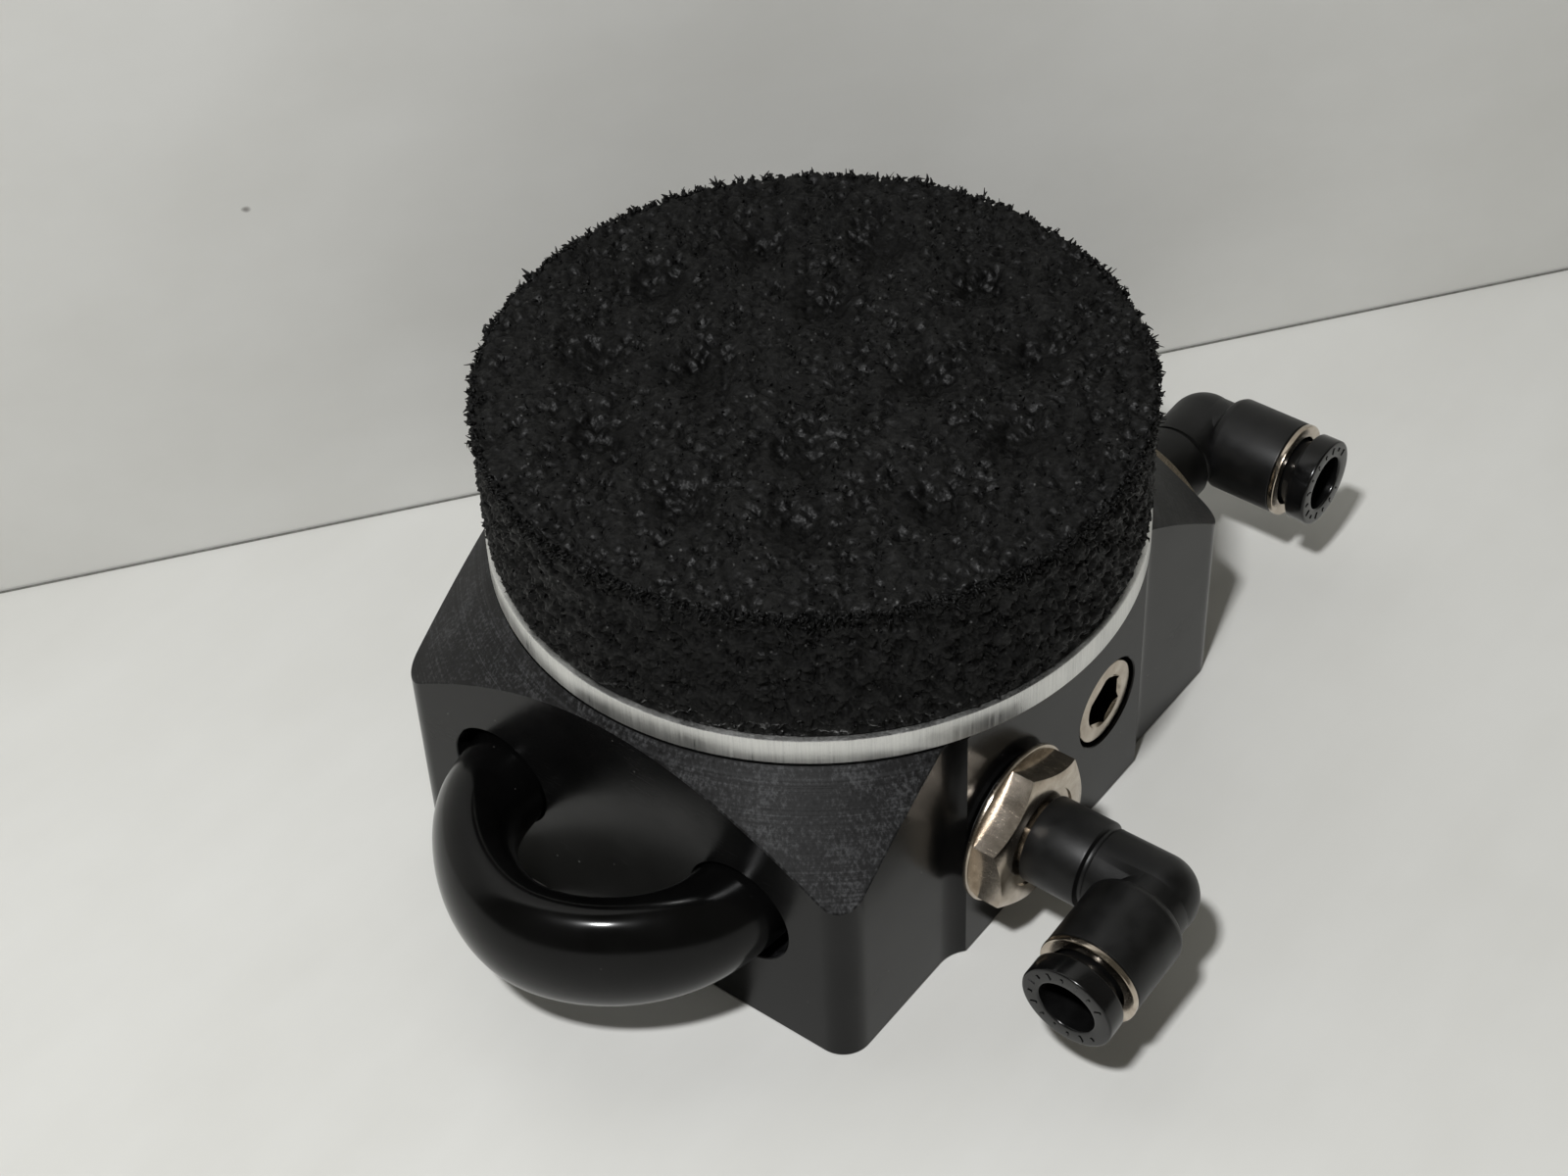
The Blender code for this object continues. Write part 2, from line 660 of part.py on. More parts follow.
def make_stem(name, port):
    groove_radius, groove_low, groove_high = SWIVEL_GROOVE
    outline = [
        (STEM_BORE, STEM_LOW),
        (STEM_THREAD_RADIUS, STEM_LOW),
        (STEM_THREAD_RADIUS, FLANGE_LOW),
        (FLANGE_RADIUS, FLANGE_LOW),
        (FLANGE_RADIUS, FLANGE_HIGH),
        (STEM_NECK_RADIUS, FLANGE_HIGH),
        (STEM_NECK_RADIUS, groove_low),
        (groove_radius, groove_low),
        (groove_radius, groove_high),
        (STEM_NECK_RADIUS, groove_high),
        (STEM_NECK_RADIUS, STEM_HIGH),
        (STEM_BORE, STEM_HIGH),
    ]
    stem = add_object(f"{name}_stem", turned(outline, ROUND), nickel(), port)
    nut = add_object(f"{name}_nut_shape", nut_shape(), parent=port)
    boolean(nut, add_object(f"{name}_nut_limit", nut_limit(), parent=port), "INTERSECT")
    nut_bore = bmesh.new()
    add_rod(nut_bore, 3.4 * MM, -5 * MM, 12 * MM, ROUND)
    boolean(nut, add_object(f"{name}_nut_bore", nut_bore, parent=port), "DIFFERENCE")
    boolean(stem, nut, "UNION")
    seal = tube_outline(6.8 * MM, 9.2 * MM, 0.25 * MM, 0.85 * MM)
    add_object(f"{name}_stem_seal", turned(seal, ROUND), black_rubber(), port)
    ring = tube_outline(groove_radius + GAP, 4.75 * MM, groove_low + 0.4 * MM, groove_high - 0.4 * MM)
    add_object(f"{name}_swivel_seal", turned(ring, COARSE), black_rubber(), port)


def elbow_leg():
    """Sleeve over the stem, a groove, and the slimmer leg up to the corner."""
    low = NUT_FACE + 0.35 * MM
    groove = CORNER_LEG_RADIUS - 0.35 * MM
    outline = [
        (0, low),
        (LEG_RADIUS, low),
        (LEG_RADIUS, 14.4 * MM),
        (groove, 14.6 * MM),
        (groove, 15.3 * MM),
        (CORNER_LEG_RADIUS, 15.5 * MM),
    ]
    outline += arc((0, ELBOW_HEIGHT), CORNER_LEG_RADIUS, 0, 90, 5)[:-1]
    outline += [(0, ELBOW_HEIGHT + CORNER_LEG_RADIUS)]
    return turned(outline, ROUND)


def elbow_barrel():
    """The outlet: a slim neck out of the corner, a cone, and the straight barrel."""
    low = 1.0 * MM
    outline = [
        (0, low),
        (BARREL_NECK_RADIUS, low),
        (BARREL_NECK_RADIUS, 3.6 * MM),
        (BARREL_RADIUS - 0.4 * MM, 4.2 * MM),
        (BARREL_RADIUS, 4.8 * MM),
        (BARREL_RADIUS, BARREL_END),
        (0, BARREL_END),
    ]
    return turned(outline, ROUND)


def make_elbow(name, swivel, outlet):
    elbow = add_object(f"{name}_elbow", elbow_leg(), elbow_plastic(), swivel)
    boolean(elbow, add_object(f"{name}_barrel_shape", elbow_barrel(), parent=outlet), "UNION")
    stem_hole = STEM_NECK_RADIUS + 0.5 * MM
    passage = STEM_BORE + GAP
    stem_bore = [
        (0, 0),
        (stem_hole, 0),
        (stem_hole, STEM_HIGH + 0.5 * MM),
        (passage, STEM_HIGH + 0.5 * MM),
        (passage, ELBOW_HEIGHT + 1.5 * MM),
        (0, ELBOW_HEIGHT + 1.5 * MM),
    ]
    boolean(elbow, add_object(f"{name}_stem_bore", turned(stem_bore, COARSE), parent=swivel), "DIFFERENCE")
    tube_stop = 3.0 * MM
    tube_bore = [
        (0, 0),
        (AIR_BORE, 0),
        (AIR_BORE, tube_stop),
        (TUBE_HOLE_RADIUS, tube_stop),
        (TUBE_HOLE_RADIUS, SOCKET_FLOOR),
        (SOCKET_RADIUS, SOCKET_FLOOR),
        (SOCKET_RADIUS, BARREL_END + 2 * MM),
        (0, BARREL_END + 2 * MM),
    ]
    boolean(elbow, add_object(f"{name}_tube_bore", turned(tube_bore, ROUND), parent=outlet), "DIFFERENCE")


def make_cartridge(name, outlet, button_frame):
    """What grips and seals the tube: seal, grab ring, plated ring in the mouth, and release button."""
    inside_socket = SOCKET_RADIUS - GAP
    seal = tube_outline(4.3 * MM, inside_socket, SOCKET_FLOOR + GAP, 7.6 * MM)
    add_object(f"{name}_tube_seal", turned(seal, COARSE), black_rubber(), outlet)
    grab = [
        (4.2 * MM, 8.5 * MM),
        (4.5 * MM, 8.2 * MM),
        (inside_socket, 7.9 * MM),
        (inside_socket, 8.2 * MM),
        (4.5 * MM, 8.5 * MM),
    ]
    add_object(f"{name}_grab_ring", turned(grab, COARSE), steel(), outlet)
    collet_bore = 5.3 * MM
    collet_rim = BARREL_RADIUS + 0.05 * MM
    collet_low = 9.0 * MM
    rim_low = BARREL_END + 0.1 * MM
    rim_high = BARREL_END + 1.0 * MM
    collet = [
        (collet_bore, collet_low),
        (inside_socket, collet_low),
        (inside_socket, rim_low),
        (collet_rim, rim_low),
        (collet_rim, rim_high),
        (collet_bore, rim_high),
    ]
    add_object(f"{name}_collet_ring", turned(collet, ROUND), nickel(), outlet)
    button_low = 10.6 * MM
    button_neck = 4.9 * MM
    button_rim = 6.55 * MM
    button = [
        (TUBE_HOLE_RADIUS, button_low),
        (button_neck, button_low),
        (button_neck, 17.3 * MM),
        (button_rim, 17.5 * MM),
        (button_rim, OUTLET_FACE - 0.3 * MM),
        (button_rim - 0.25 * MM, OUTLET_FACE),
        (TUBE_HOLE_RADIUS, OUTLET_FACE),
    ]
    add_object(f"{name}_release_button", turned(button, ROUND), button_plastic(), button_frame)


def make_fitting(name, port_place, elbow_turn):
    """A push-in elbow. In the port frame Z runs out of the block, and X is the outlet before its turn."""
    port = frame(f"{name}_port", port_place)
    make_stem(name, port)
    swivel = frame(f"{name}_swivel", Matrix.Rotation(radians(elbow_turn), 4, "Z"), port)
    outlet_place = at(0, 0, ELBOW_HEIGHT) @ Matrix.Rotation(pi / 2, 4, "Y")
    outlet = frame(f"{name}_outlet", outlet_place, swivel)
    button_frame = frame(f"{name}_button", Matrix(), outlet)
    bpy.context.view_layer.update()
    make_elbow(name, swivel, outlet)
    make_cartridge(name, outlet, button_frame)


def port_frame(origin, outward, outlet):
    """World frame of a port from where it is, the way it faces and the way its elbow points."""
    side = outward.cross(outlet)
    place = Matrix((outlet, side, outward)).transposed().to_4x4()
    place.translation = origin
    return place


def make_fittings():
    east = Vector((1, 0, 0))
    north = Vector((0, 1, 0))
    vacuum_place = port_frame(Vector((BOSS_X, -PORT_OFFSET_Y, PORT_HEIGHT)), east, -north)
    make_fitting("vacuum", vacuum_place, VACUUM_ELBOW_TURN)
    supply_place = port_frame(Vector((BORE_OFFSET_X, BLOCK_HALF_Y, PORT_HEIGHT)), north, east)
    make_fitting("supply", supply_place, SUPPLY_ELBOW_TURN)


clear_scene()
make_body()
make_suction_plate()
make_plate_gasket()
make_foam_pad()
make_filter_screen()
make_plate_screws()
make_link_hose()
make_hose_spigots()
make_port_plug()
make_ejector()
make_silencer()
make_fittings()
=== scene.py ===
import json
from math import asin, cos, degrees, hypot, pi, radians, sin, sqrt

import bmesh
import bpy
import numpy as np
from mathutils import Matrix, Vector


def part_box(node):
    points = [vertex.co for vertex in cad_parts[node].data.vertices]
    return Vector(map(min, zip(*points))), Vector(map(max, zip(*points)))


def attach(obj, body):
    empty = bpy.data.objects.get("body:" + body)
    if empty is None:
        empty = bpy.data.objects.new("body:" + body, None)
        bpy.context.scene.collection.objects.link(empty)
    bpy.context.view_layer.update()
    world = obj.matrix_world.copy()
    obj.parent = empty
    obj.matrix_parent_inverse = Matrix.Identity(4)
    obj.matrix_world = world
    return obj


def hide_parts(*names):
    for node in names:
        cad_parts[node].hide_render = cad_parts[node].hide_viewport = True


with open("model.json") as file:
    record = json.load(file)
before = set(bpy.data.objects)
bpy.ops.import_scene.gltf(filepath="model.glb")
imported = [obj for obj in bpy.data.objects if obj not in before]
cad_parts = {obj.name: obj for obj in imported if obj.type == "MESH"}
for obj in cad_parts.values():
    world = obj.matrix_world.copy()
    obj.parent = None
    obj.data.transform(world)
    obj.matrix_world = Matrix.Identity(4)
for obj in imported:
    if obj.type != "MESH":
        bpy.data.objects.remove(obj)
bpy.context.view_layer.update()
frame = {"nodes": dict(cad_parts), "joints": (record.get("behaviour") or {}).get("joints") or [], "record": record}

MM = 0.001
ROUND = 96

# What the frame says about sizes and places
BODY_LOW, BODY_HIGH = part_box("body")
PLATE_LOW, PLATE_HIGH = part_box("suction_plate")
FOAM_LOW, FOAM_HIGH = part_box("foam_pad")
PLUG_LOW, PLUG_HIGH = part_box("port_plug")
JOINTS = {joint["name"]: joint for joint in frame["joints"]}

# Block
BLOCK_TOP = BODY_HIGH.z
BLOCK_HALF_X = -BODY_LOW.x
BLOCK_HALF_Y = BODY_HIGH.y
BOSS_X = BODY_HIGH.x
CORNER_RADIUS = 4.0 * MM
BOSS_HALF_WIDTH = 21.0 * MM
BOSS_FOOT_HALF_WIDTH = 24.7 * MM
CONE_SLOPE = 1.06
PLATE_RADIUS = PLATE_HIGH.x
PORT_HEIGHT = (PLUG_LOW.z + PLUG_HIGH.z) / 2
PORT_OFFSET_Y = (PLUG_LOW.y + PLUG_HIGH.y) / 2
BORE_OFFSET_X = 20.0 * MM
SHARP_EDGE = 32
BLOCK_SHARP_EDGE = 14

# Holes in the block and the plate
HOSE_HOLE_RADIUS = 7.75 * MM
HOSE_HOLE_DEPTH = 14.0 * MM
BORE_RADIUS = 5.2 * MM
PORT_RADIUS = 6.7 * MM
SUPPLY_PORT_DEPTH = 11.0 * MM
VACUUM_PORT_DEPTH = 11.8 * MM
PLUG_HOLE_RADIUS = 6.75 * MM
PLUG_HOLE_DEPTH = 10.4 * MM
CHAMBER_RADIUS = 32.8 * MM
CHAMBER_FLOOR = 35.5 * MM
EXHAUST_HOLE_RADIUS = 2.0 * MM
EXHAUST_HOLE_DEPTH = 10.0 * MM
EXHAUST_HOLES_Y = (-5.0 * MM, 3.0 * MM, 11.0 * MM)
SCREW_PLACE = (31.5 * MM, 24.0 * MM)
SCREW_HOLE_RADIUS = 2.25 * MM
SCREW_HEAD_HOLE_RADIUS = 3.8 * MM
SCREW_HEAD_HOLE_DEPTH = 5.0 * MM
MOUNT_HOLE_PLACE = (12.0 * MM, 32.0 * MM)
MOUNT_HOLE_RADIUS = 2.5 * MM
MOUNT_HOLE_DEPTH = 9.0 * MM
SUCTION_HOLE_RADIUS = 1.6 * MM
OUTER_RING = (11, 28.4 * MM, 140.8)
INNER_RING = (4, 14.4 * MM, 121.0)

# Sponge pad. The shade is painted shade: how much darker its colour is painted for each millimetre that it is
# drawn down
SPONGE_VOXEL = 0.38 * MM
CRUMB_SIZE = 1.75 * MM
CRUMB_RISE = 0.60 * MM
CRACK_DEPTH = 0.70 * MM
FINE_CRUMB_SIZE = 0.85 * MM
FINE_CRUMB_RISE = 0.24 * MM
FINE_CRACK_DEPTH = 0.16 * MM
DIMPLE_DEPTH = 1.9 * MM
DIMPLE_RADIUS = 3.9 * MM
DIMPLE_SHADE = 0.62
# Least openness, where the painted shade is darkest
DARKEST_PAINTED_SHADE = 0.05
CROWN = 0.9 * MM
RIM_CLUMPS = 1700
TOP_CRUMBS = 2600
SIDE_CRUMBS = 2500

# Loop of hose
HOSE_RADIUS = 6.75 * MM
HOSE_BORE = 4.6 * MM
HOSE_REACH = 17.0 * MM
HOSE_HALF_SPAN = 19.1 * MM
HOSE_STRAIGHT = 2.0 * MM
# The bend is a superellipse with this power, and its route is averaged over and over to ease its kinks
HOSE_BEND_POWER = 2 / 1.77
HOSE_OVAL_FROM = 0.75
HOSE_EASING = 60
HOSE_HALF_THICKNESS = 5.35 * MM
HOSE_HALF_HEIGHT = 8.55 * MM

# Plug
PLUG_KEY = 7.0 * MM
PLUG_KEY_DEPTH = 5.0 * MM

# Elbow fittings: stem and leg are measured out from the port face, the rest along the outlet
STEM_LOW = -10.5 * MM
STEM_HIGH = 16.5 * MM
STEM_BORE = 2.6 * MM
STEM_THREAD_RADIUS = 6.4 * MM
STEM_NECK_RADIUS = 4.5 * MM
SWIVEL_GROOVE = (3.4 * MM, 12.0 * MM, 14.4 * MM)
FLANGE_RADIUS = 11.2 * MM
FLANGE_LOW = 1.1 * MM
FLANGE_HIGH = 1.9 * MM
NUT_LOW = 1.6 * MM
ELBOW_HEIGHT = 23.0 * MM
NUT_FACE = 5.95 * MM
NUT_ACROSS_FLATS = 18.8 * MM
NUT_TURN = 35.7
LEG_RADIUS = 6.05 * MM
CORNER_LEG_RADIUS = 5.7 * MM
BARREL_RADIUS = 7.0 * MM
BARREL_END = 14.8 * MM
OUTLET_FACE = 20.6 * MM
TUBE_HOLE_RADIUS = 4.05 * MM
SOCKET_RADIUS = 6.1 * MM
SOCKET_FLOOR = 5.2 * MM
BUTTON_NECK = 4.9 * MM
BUTTON_RIM = 6.55 * MM

# Camera, stage and light
CAMERA_PLACE = (175.12 * MM, -223.54 * MM, 302.97 * MM)
CAMERA_AZIMUTH = 38.56
CAMERA_ELEVATION = 43.36
CAMERA_ROLL = -2.51
CAMERA_LENS = 66.56
CAMERA_SHIFT = (-0.0117, -0.0182)
BACKDROP_DISTANCE = 66.0 * MM
BACKDROP_ANGLE = 52.4
STAGE_REACH = 1.2
KEY_PLACE = (0.13, -0.35, 0.63)
KEY_SIZE = (0.05, 0.04)
KEY_POWER = 4.2
KEY_COLOUR = (0.99, 0.995, 1.0)
AMBIENT_COLOUR = (1.0, 0.95, 0.80, 1.0)
AMBIENT_STRENGTH = 0.085


# ---------------------------------------------------------------- shapes


def circle(radius, segments):
    """Points round a circle about the origin."""
    turns = [2 * pi * step / segments for step in range(segments)]
    return [(radius * cos(turn), radius * sin(turn)) for turn in turns]


def arc(centre, radius, start, end, steps):
    """Points along an arc, both ends included, angles in degrees."""
    angles = [radians(start + (end - start) * step / steps) for step in range(steps + 1)]
    return [(centre[0] + radius * cos(angle), centre[1] + radius * sin(angle)) for angle in angles]


def add_turned(shape, outline, segments=ROUND, place=Matrix()):
    """Adds the solid that a closed outline of (radius, height) points makes when it is turned about Z."""
    rings = []
    for radius, height in outline:
        if radius < 1e-7:
            rings.append([shape.verts.new(place @ Vector((0.0, 0.0, height)))])
        else:
            ring = [place @ Vector((x, y, height)) for x, y in circle(radius, segments)]
            rings.append([shape.verts.new(point) for point in ring])
    faces = []
    for lower, upper in zip(rings, rings[1:] + rings[:1]):
        if len(lower) == 1 and len(upper) == 1:
            continue
        for first in range(segments):
            second = (first + 1) % segments
            corners = [
                lower[first % len(lower)],
                lower[second % len(lower)],
                upper[second % len(upper)],
                upper[first % len(upper)],
            ]
            faces.append(shape.faces.new(list(dict.fromkeys(corners))))
    bmesh.ops.recalc_face_normals(shape, faces=faces)


def add_prism(shape, outline, low, high, place=Matrix()):
    bottom = [shape.verts.new(place @ Vector((x, y, low))) for x, y in outline]
    top = [shape.verts.new(place @ Vector((x, y, high))) for x, y in outline]
    faces = [shape.faces.new(bottom[::-1]), shape.faces.new(top)]
    for first in range(len(outline)):
        second = (first + 1) % len(outline)
        faces.append(shape.faces.new((bottom[first], bottom[second], top[second], top[first])))
    bmesh.ops.recalc_face_normals(shape, faces=faces)


def turned(outline, segments=ROUND, place=Matrix()):
    shape = bmesh.new()
    add_turned(shape, outline, segments, place)
    return shape


def add_rod(shape, radius, low, high, segments=ROUND, place=Matrix()):
    add_turned(shape, [(0, low), (radius, low), (radius, high), (0, high)], segments, place)


def softened(outline, cut, steps=3):
    """The same outline with each sharp corner off the axis rounded by a short arc-like curve."""
    points = []
    count = len(outline)
    for index, corner in enumerate(outline):
        here = Vector(corner)
        before = Vector(outline[index - 1])
        after = Vector(outline[(index + 1) % count])
        back = before - here
        ahead = after - here
        reach = min(cut, back.length * 0.45, ahead.length * 0.45)
        if corner[0] < 1e-7 or back.length < 1e-9 or ahead.length < 1e-9:
            points.append(tuple(here))
            continue
        start = here + back.normalized() * reach
        end = here + ahead.normalized() * reach
        for step in range(steps + 1):
            part = step / steps
            point = start * (1 - part) ** 2 + here * 2 * part * (1 - part) + end * part**2
            points.append(tuple(point))
    return points


def along_x(y, z):
    return Matrix.Translation((0, y, z)) @ Matrix.Rotation(pi / 2, 4, "Y")


def at(x, y, z=0.0):
    return Matrix.Translation((x, y, z))


def ring_places(count, radius, first_angle):
    step = 360 / count
    angles = [radians(first_angle - step * turn) for turn in range(count)]
    return [(radius * cos(angle), radius * sin(angle)) for angle in angles]


def four_places(x, y):
    return [(x, y), (-x, y), (-x, -y), (x, -y)]


def blend(start, end, amount):
    return start + (end - start) * amount


def join_rings(shape, near, far):
    """Faces between two rings of the same number of points."""
    for first in range(len(near)):
        second = (first + 1) % len(near)
        shape.faces.new((near[first], near[second], far[second], far[first]))


def make_object(name, shape, sharp_angle=SHARP_EDGE):
    mesh = bpy.data.meshes.new(name)
    shape.to_mesh(mesh)
    shape.free()
    mesh.shade_smooth()
    mesh.set_sharp_from_angle(angle=radians(sharp_angle))
    item = bpy.data.objects.new(name, mesh)
    bpy.context.scene.collection.objects.link(item)
    return item


def combine(target, tool_shape, operation):
    """Joins or cuts target by a shape, and leaves a plain mesh with no modifier and no tool behind."""
    tool = make_object("tool", tool_shape)
    modifier = target.modifiers.new("combine", "BOOLEAN")
    modifier.object = tool
    modifier.operation = operation
    modifier.solver = "EXACT"
    apply_modifiers(target)
    bpy.data.objects.remove(tool, do_unlink=True)


def apply_modifiers(item):
    bpy.context.view_layer.update()
    graph = bpy.context.evaluated_depsgraph_get()
    made = bpy.data.meshes.new_from_object(item.evaluated_get(graph))
    item.modifiers.clear()
    item.data = made
    made.shade_smooth()
    made.set_sharp_from_angle(angle=radians(SHARP_EDGE))


def finish_piece(item, surface, body, slot, *nodes):
    """Rides a piece on its body in place of CAD nodes. Without a surface it keeps the ones that it has."""
    if surface:
        item.data.materials.clear()
        item.data.materials.append(surface)
    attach(item, body)
    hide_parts(*nodes)


# ---------------------------------------------------------------- materials


class Surface:
    """A Principled material and short ways to wire textures into it. Lengths are in metres."""

    def __init__(self, name, colour, roughness, metallic=0.0, ior=1.5):
        self.material = bpy.data.materials.new(name)
        self.material.use_nodes = True
        self.tree = self.material.node_tree
        self.shader = self.tree.nodes["Principled BSDF"]
        self.set("Base Color", (*colour, 1.0))
        self.set("Roughness", roughness)
        self.set("Metallic", metallic)
        self.set("IOR", ior)
        self.place = self.tree.nodes.new("ShaderNodeTexCoord").outputs["Object"]

    def set(self, socket, value):
        self.shader.inputs[socket].default_value = value

    def link(self, output, socket):
        self.tree.links.new(output, self.shader.inputs[socket])

    def maths(self, operation, first, second=0.0):
        node = self.tree.nodes.new("ShaderNodeMath")
        node.operation = operation
        for index, value in enumerate((first, second)):
            if isinstance(value, (int, float)):
                node.inputs[index].default_value = value
            else:
                self.tree.links.new(value, node.inputs[index])
        return node.outputs[0]

    def stretched(self, x, y, z):
        """The place of a point with each axis stretched."""
        node = self.tree.nodes.new("ShaderNodeVectorMath")
        node.operation = "MULTIPLY"
        node.inputs[1].default_value = (x, y, z)
        self.tree.links.new(self.place, node.inputs[0])
        return node.outputs[0]

    def radius(self):
        """Distance of a point from the part's vertical axis, as a vector that runs only outwards."""
        flat = self.stretched(1, 1, 0)
        length = self.tree.nodes.new("ShaderNodeVectorMath")
        length.operation = "LENGTH"
        self.tree.links.new(flat, length.inputs[0])
        joined = self.tree.nodes.new("ShaderNodeCombineXYZ")
        self.tree.links.new(length.outputs["Value"], joined.inputs[0])
        return joined.outputs[0]

    def noise(self, vector, size, detail=2.0, roughness=0.5):
        """Cloudy noise whose features are about size metres across."""
        node = self.tree.nodes.new("ShaderNodeTexNoise")
        node.inputs["Scale"].default_value = 1 / size
        node.inputs["Detail"].default_value = detail
        node.inputs["Roughness"].default_value = roughness
        self.tree.links.new(vector, node.inputs["Vector"])
        return node.outputs["Fac"]

    def cells(self, vector, size):
        """Distance to the nearest of scattered points that are about size metres apart."""
        node = self.tree.nodes.new("ShaderNodeTexVoronoi")
        node.inputs["Scale"].default_value = 1 / size
        self.tree.links.new(vector, node.inputs["Vector"])
        return node.outputs["Distance"]

    def remap(self, value, low, high, to_low=0.0, to_high=1.0):
        node = self.tree.nodes.new("ShaderNodeMapRange")
        node.inputs["From Min"].default_value = low
        node.inputs["From Max"].default_value = high
        node.inputs["To Min"].default_value = to_low
        node.inputs["To Max"].default_value = to_high
        self.tree.links.new(value, node.inputs["Value"])
        return node.outputs["Result"]

    def colours(self, value, *stops):
        """Colour ramp from (place, colour) stops."""
        node = self.tree.nodes.new("ShaderNodeValToRGB")
        ramp = node.color_ramp
        while len(ramp.elements) < len(stops):
            ramp.elements.new(1.0)
        for element, (place, colour) in zip(ramp.elements, stops):
            element.position = place
            element.color = (*colour, 1.0)
        self.tree.links.new(value, node.inputs["Fac"])
        return node.outputs["Color"]

    def mixed(self, factor, first, second):
        node = self.tree.nodes.new("ShaderNodeMix")
        node.data_type = "RGBA"
        self.tree.links.new(factor, node.inputs["Factor"])
        for socket, value in ((node.inputs["A"], first), (node.inputs["B"], second)):
            if isinstance(value, tuple):
                socket.default_value = (*value, 1.0)
            else:
                self.tree.links.new(value, socket)
        return node.outputs["Result"]

    def bump(self, height, strength, distance, under=None):
        node = self.tree.nodes.new("ShaderNodeBump")
        node.inputs["Strength"].default_value = strength
        node.inputs["Distance"].default_value = distance
        self.tree.links.new(height, node.inputs["Height"])
        if under:
            self.tree.links.new(under, node.inputs["Normal"])
        self.link(node.outputs["Normal"], "Normal")
        return node.outputs["Normal"]


def grey(level):
    return (level, level, level)


def milled_anodised():
    """Black anodised milled faces: a soft shine, a few dust specks and faint cutter marks."""
    made = Surface("milled_anodised", grey(0.004), 0.22, ior=1.30)
    marks = made.noise(made.stretched(1.0, 1.0, 14.0), 2.2 * MM, 4.0, 0.6)
    cloud = made.noise(made.place, 9 * MM, 3.0)
    grain = made.noise(made.place, 0.18 * MM, 1.0)
    made.link(made.remap(made.maths("ADD", marks, cloud), 0.7, 1.3, 0.17, 0.28), "Roughness")
    specks = made.remap(made.cells(made.place, 3.4 * MM), 0.030, 0.045, 1.0, 0.0)
    tone = made.colours(cloud, (0.3, grey(0.0030)), (0.7, grey(0.0058)))
    made.link(made.mixed(specks, tone, (0.16, 0.155, 0.145)), "Base Color")
    fine = made.bump(grain, strength=0.05, distance=0.02 * MM)
    made.bump(marks, strength=0.05, distance=0.03 * MM, under=fine)
    return made.material


def turned_anodised():
    """The cone: turned, so it carries rings with their reflection lines painted in as paler colour, and scuffed to
    a mid grey.
    """
    made = Surface("turned_anodised", grey(0.02), 0.46, ior=1.33)
    rings = made.noise(made.radius(), 0.22 * MM, 3.0, 0.7)
    wide_rings = made.noise(made.radius(), 1.3 * MM, 2.0, 0.5)
    weave = made.noise(made.stretched(1.0, 1.0, 0.15), 0.45 * MM, 3.0, 0.7)
    cross = made.noise(made.radius(), 0.40 * MM, 3.0, 0.8)
    cloud = made.noise(made.place, 5 * MM, 3.0)
    scuffs = made.maths("ADD", made.maths("MULTIPLY", weave, 0.45), made.maths("MULTIPLY", cross, 0.35))
    scuffs = made.maths("ADD", scuffs, made.maths("MULTIPLY", cloud, 0.20))
    tone = made.colours(
        scuffs,
        (0.38, (0.0010, 0.0010, 0.0011)),
        (0.50, (0.0060, 0.0060, 0.0064)),
        (0.62, (0.0500, 0.0508, 0.0530)),
    )
    # Paler rings: the turning marks, with their reflection lines painted in as colour
    ring_marks_and_painted_sheen = made.remap(wide_rings, 0.60, 0.66, 0.0, 0.35)
    made.link(made.mixed(ring_marks_and_painted_sheen, tone, (0.045, 0.046, 0.048)), "Base Color")
    made.link(made.remap(weave, 0.3, 0.7, 0.36, 0.56), "Roughness")
    under = made.bump(rings, strength=0.60, distance=0.02 * MM)
    made.bump(scuffs, strength=0.60, distance=0.03 * MM, under=under)
    return made.material


def turned_plate():
    """Bare turned aluminium, with fine upright streaks round the edge."""
    made = Surface("turned_plate", (0.86, 0.86, 0.84), 0.34, metallic=1.0)
    streaks = made.noise(made.stretched(1.0, 1.0, 0.03), 0.28 * MM, 3.0, 0.7)
    patches = made.noise(made.stretched(1.0, 1.0, 0.3), 4 * MM, 2.0)
    specks = made.noise(made.place, 0.25 * MM, 2.0, 0.8)
    both = made.maths("ADD", made.maths("MULTIPLY", streaks, 0.6), made.maths("MULTIPLY", patches, 0.4))
    dark, middle, light = (0.60, 0.60, 0.59), (0.74, 0.74, 0.72), (0.84, 0.84, 0.82)
    tone = made.colours(both, (0.36, dark), (0.52, middle), (0.66, light))
    dark_specks = made.remap(specks, 0.30, 0.36, 0.30, 0.0)
    made.link(made.mixed(dark_specks, tone, (0.25, 0.25, 0.24)), "Base Color")
    made.link(made.remap(both, 0.35, 0.65, 0.26, 0.46), "Roughness")
    under = made.bump(streaks, strength=0.35, distance=0.02 * MM)
    made.bump(specks, strength=0.15, distance=0.02 * MM, under=under)
    return made.material


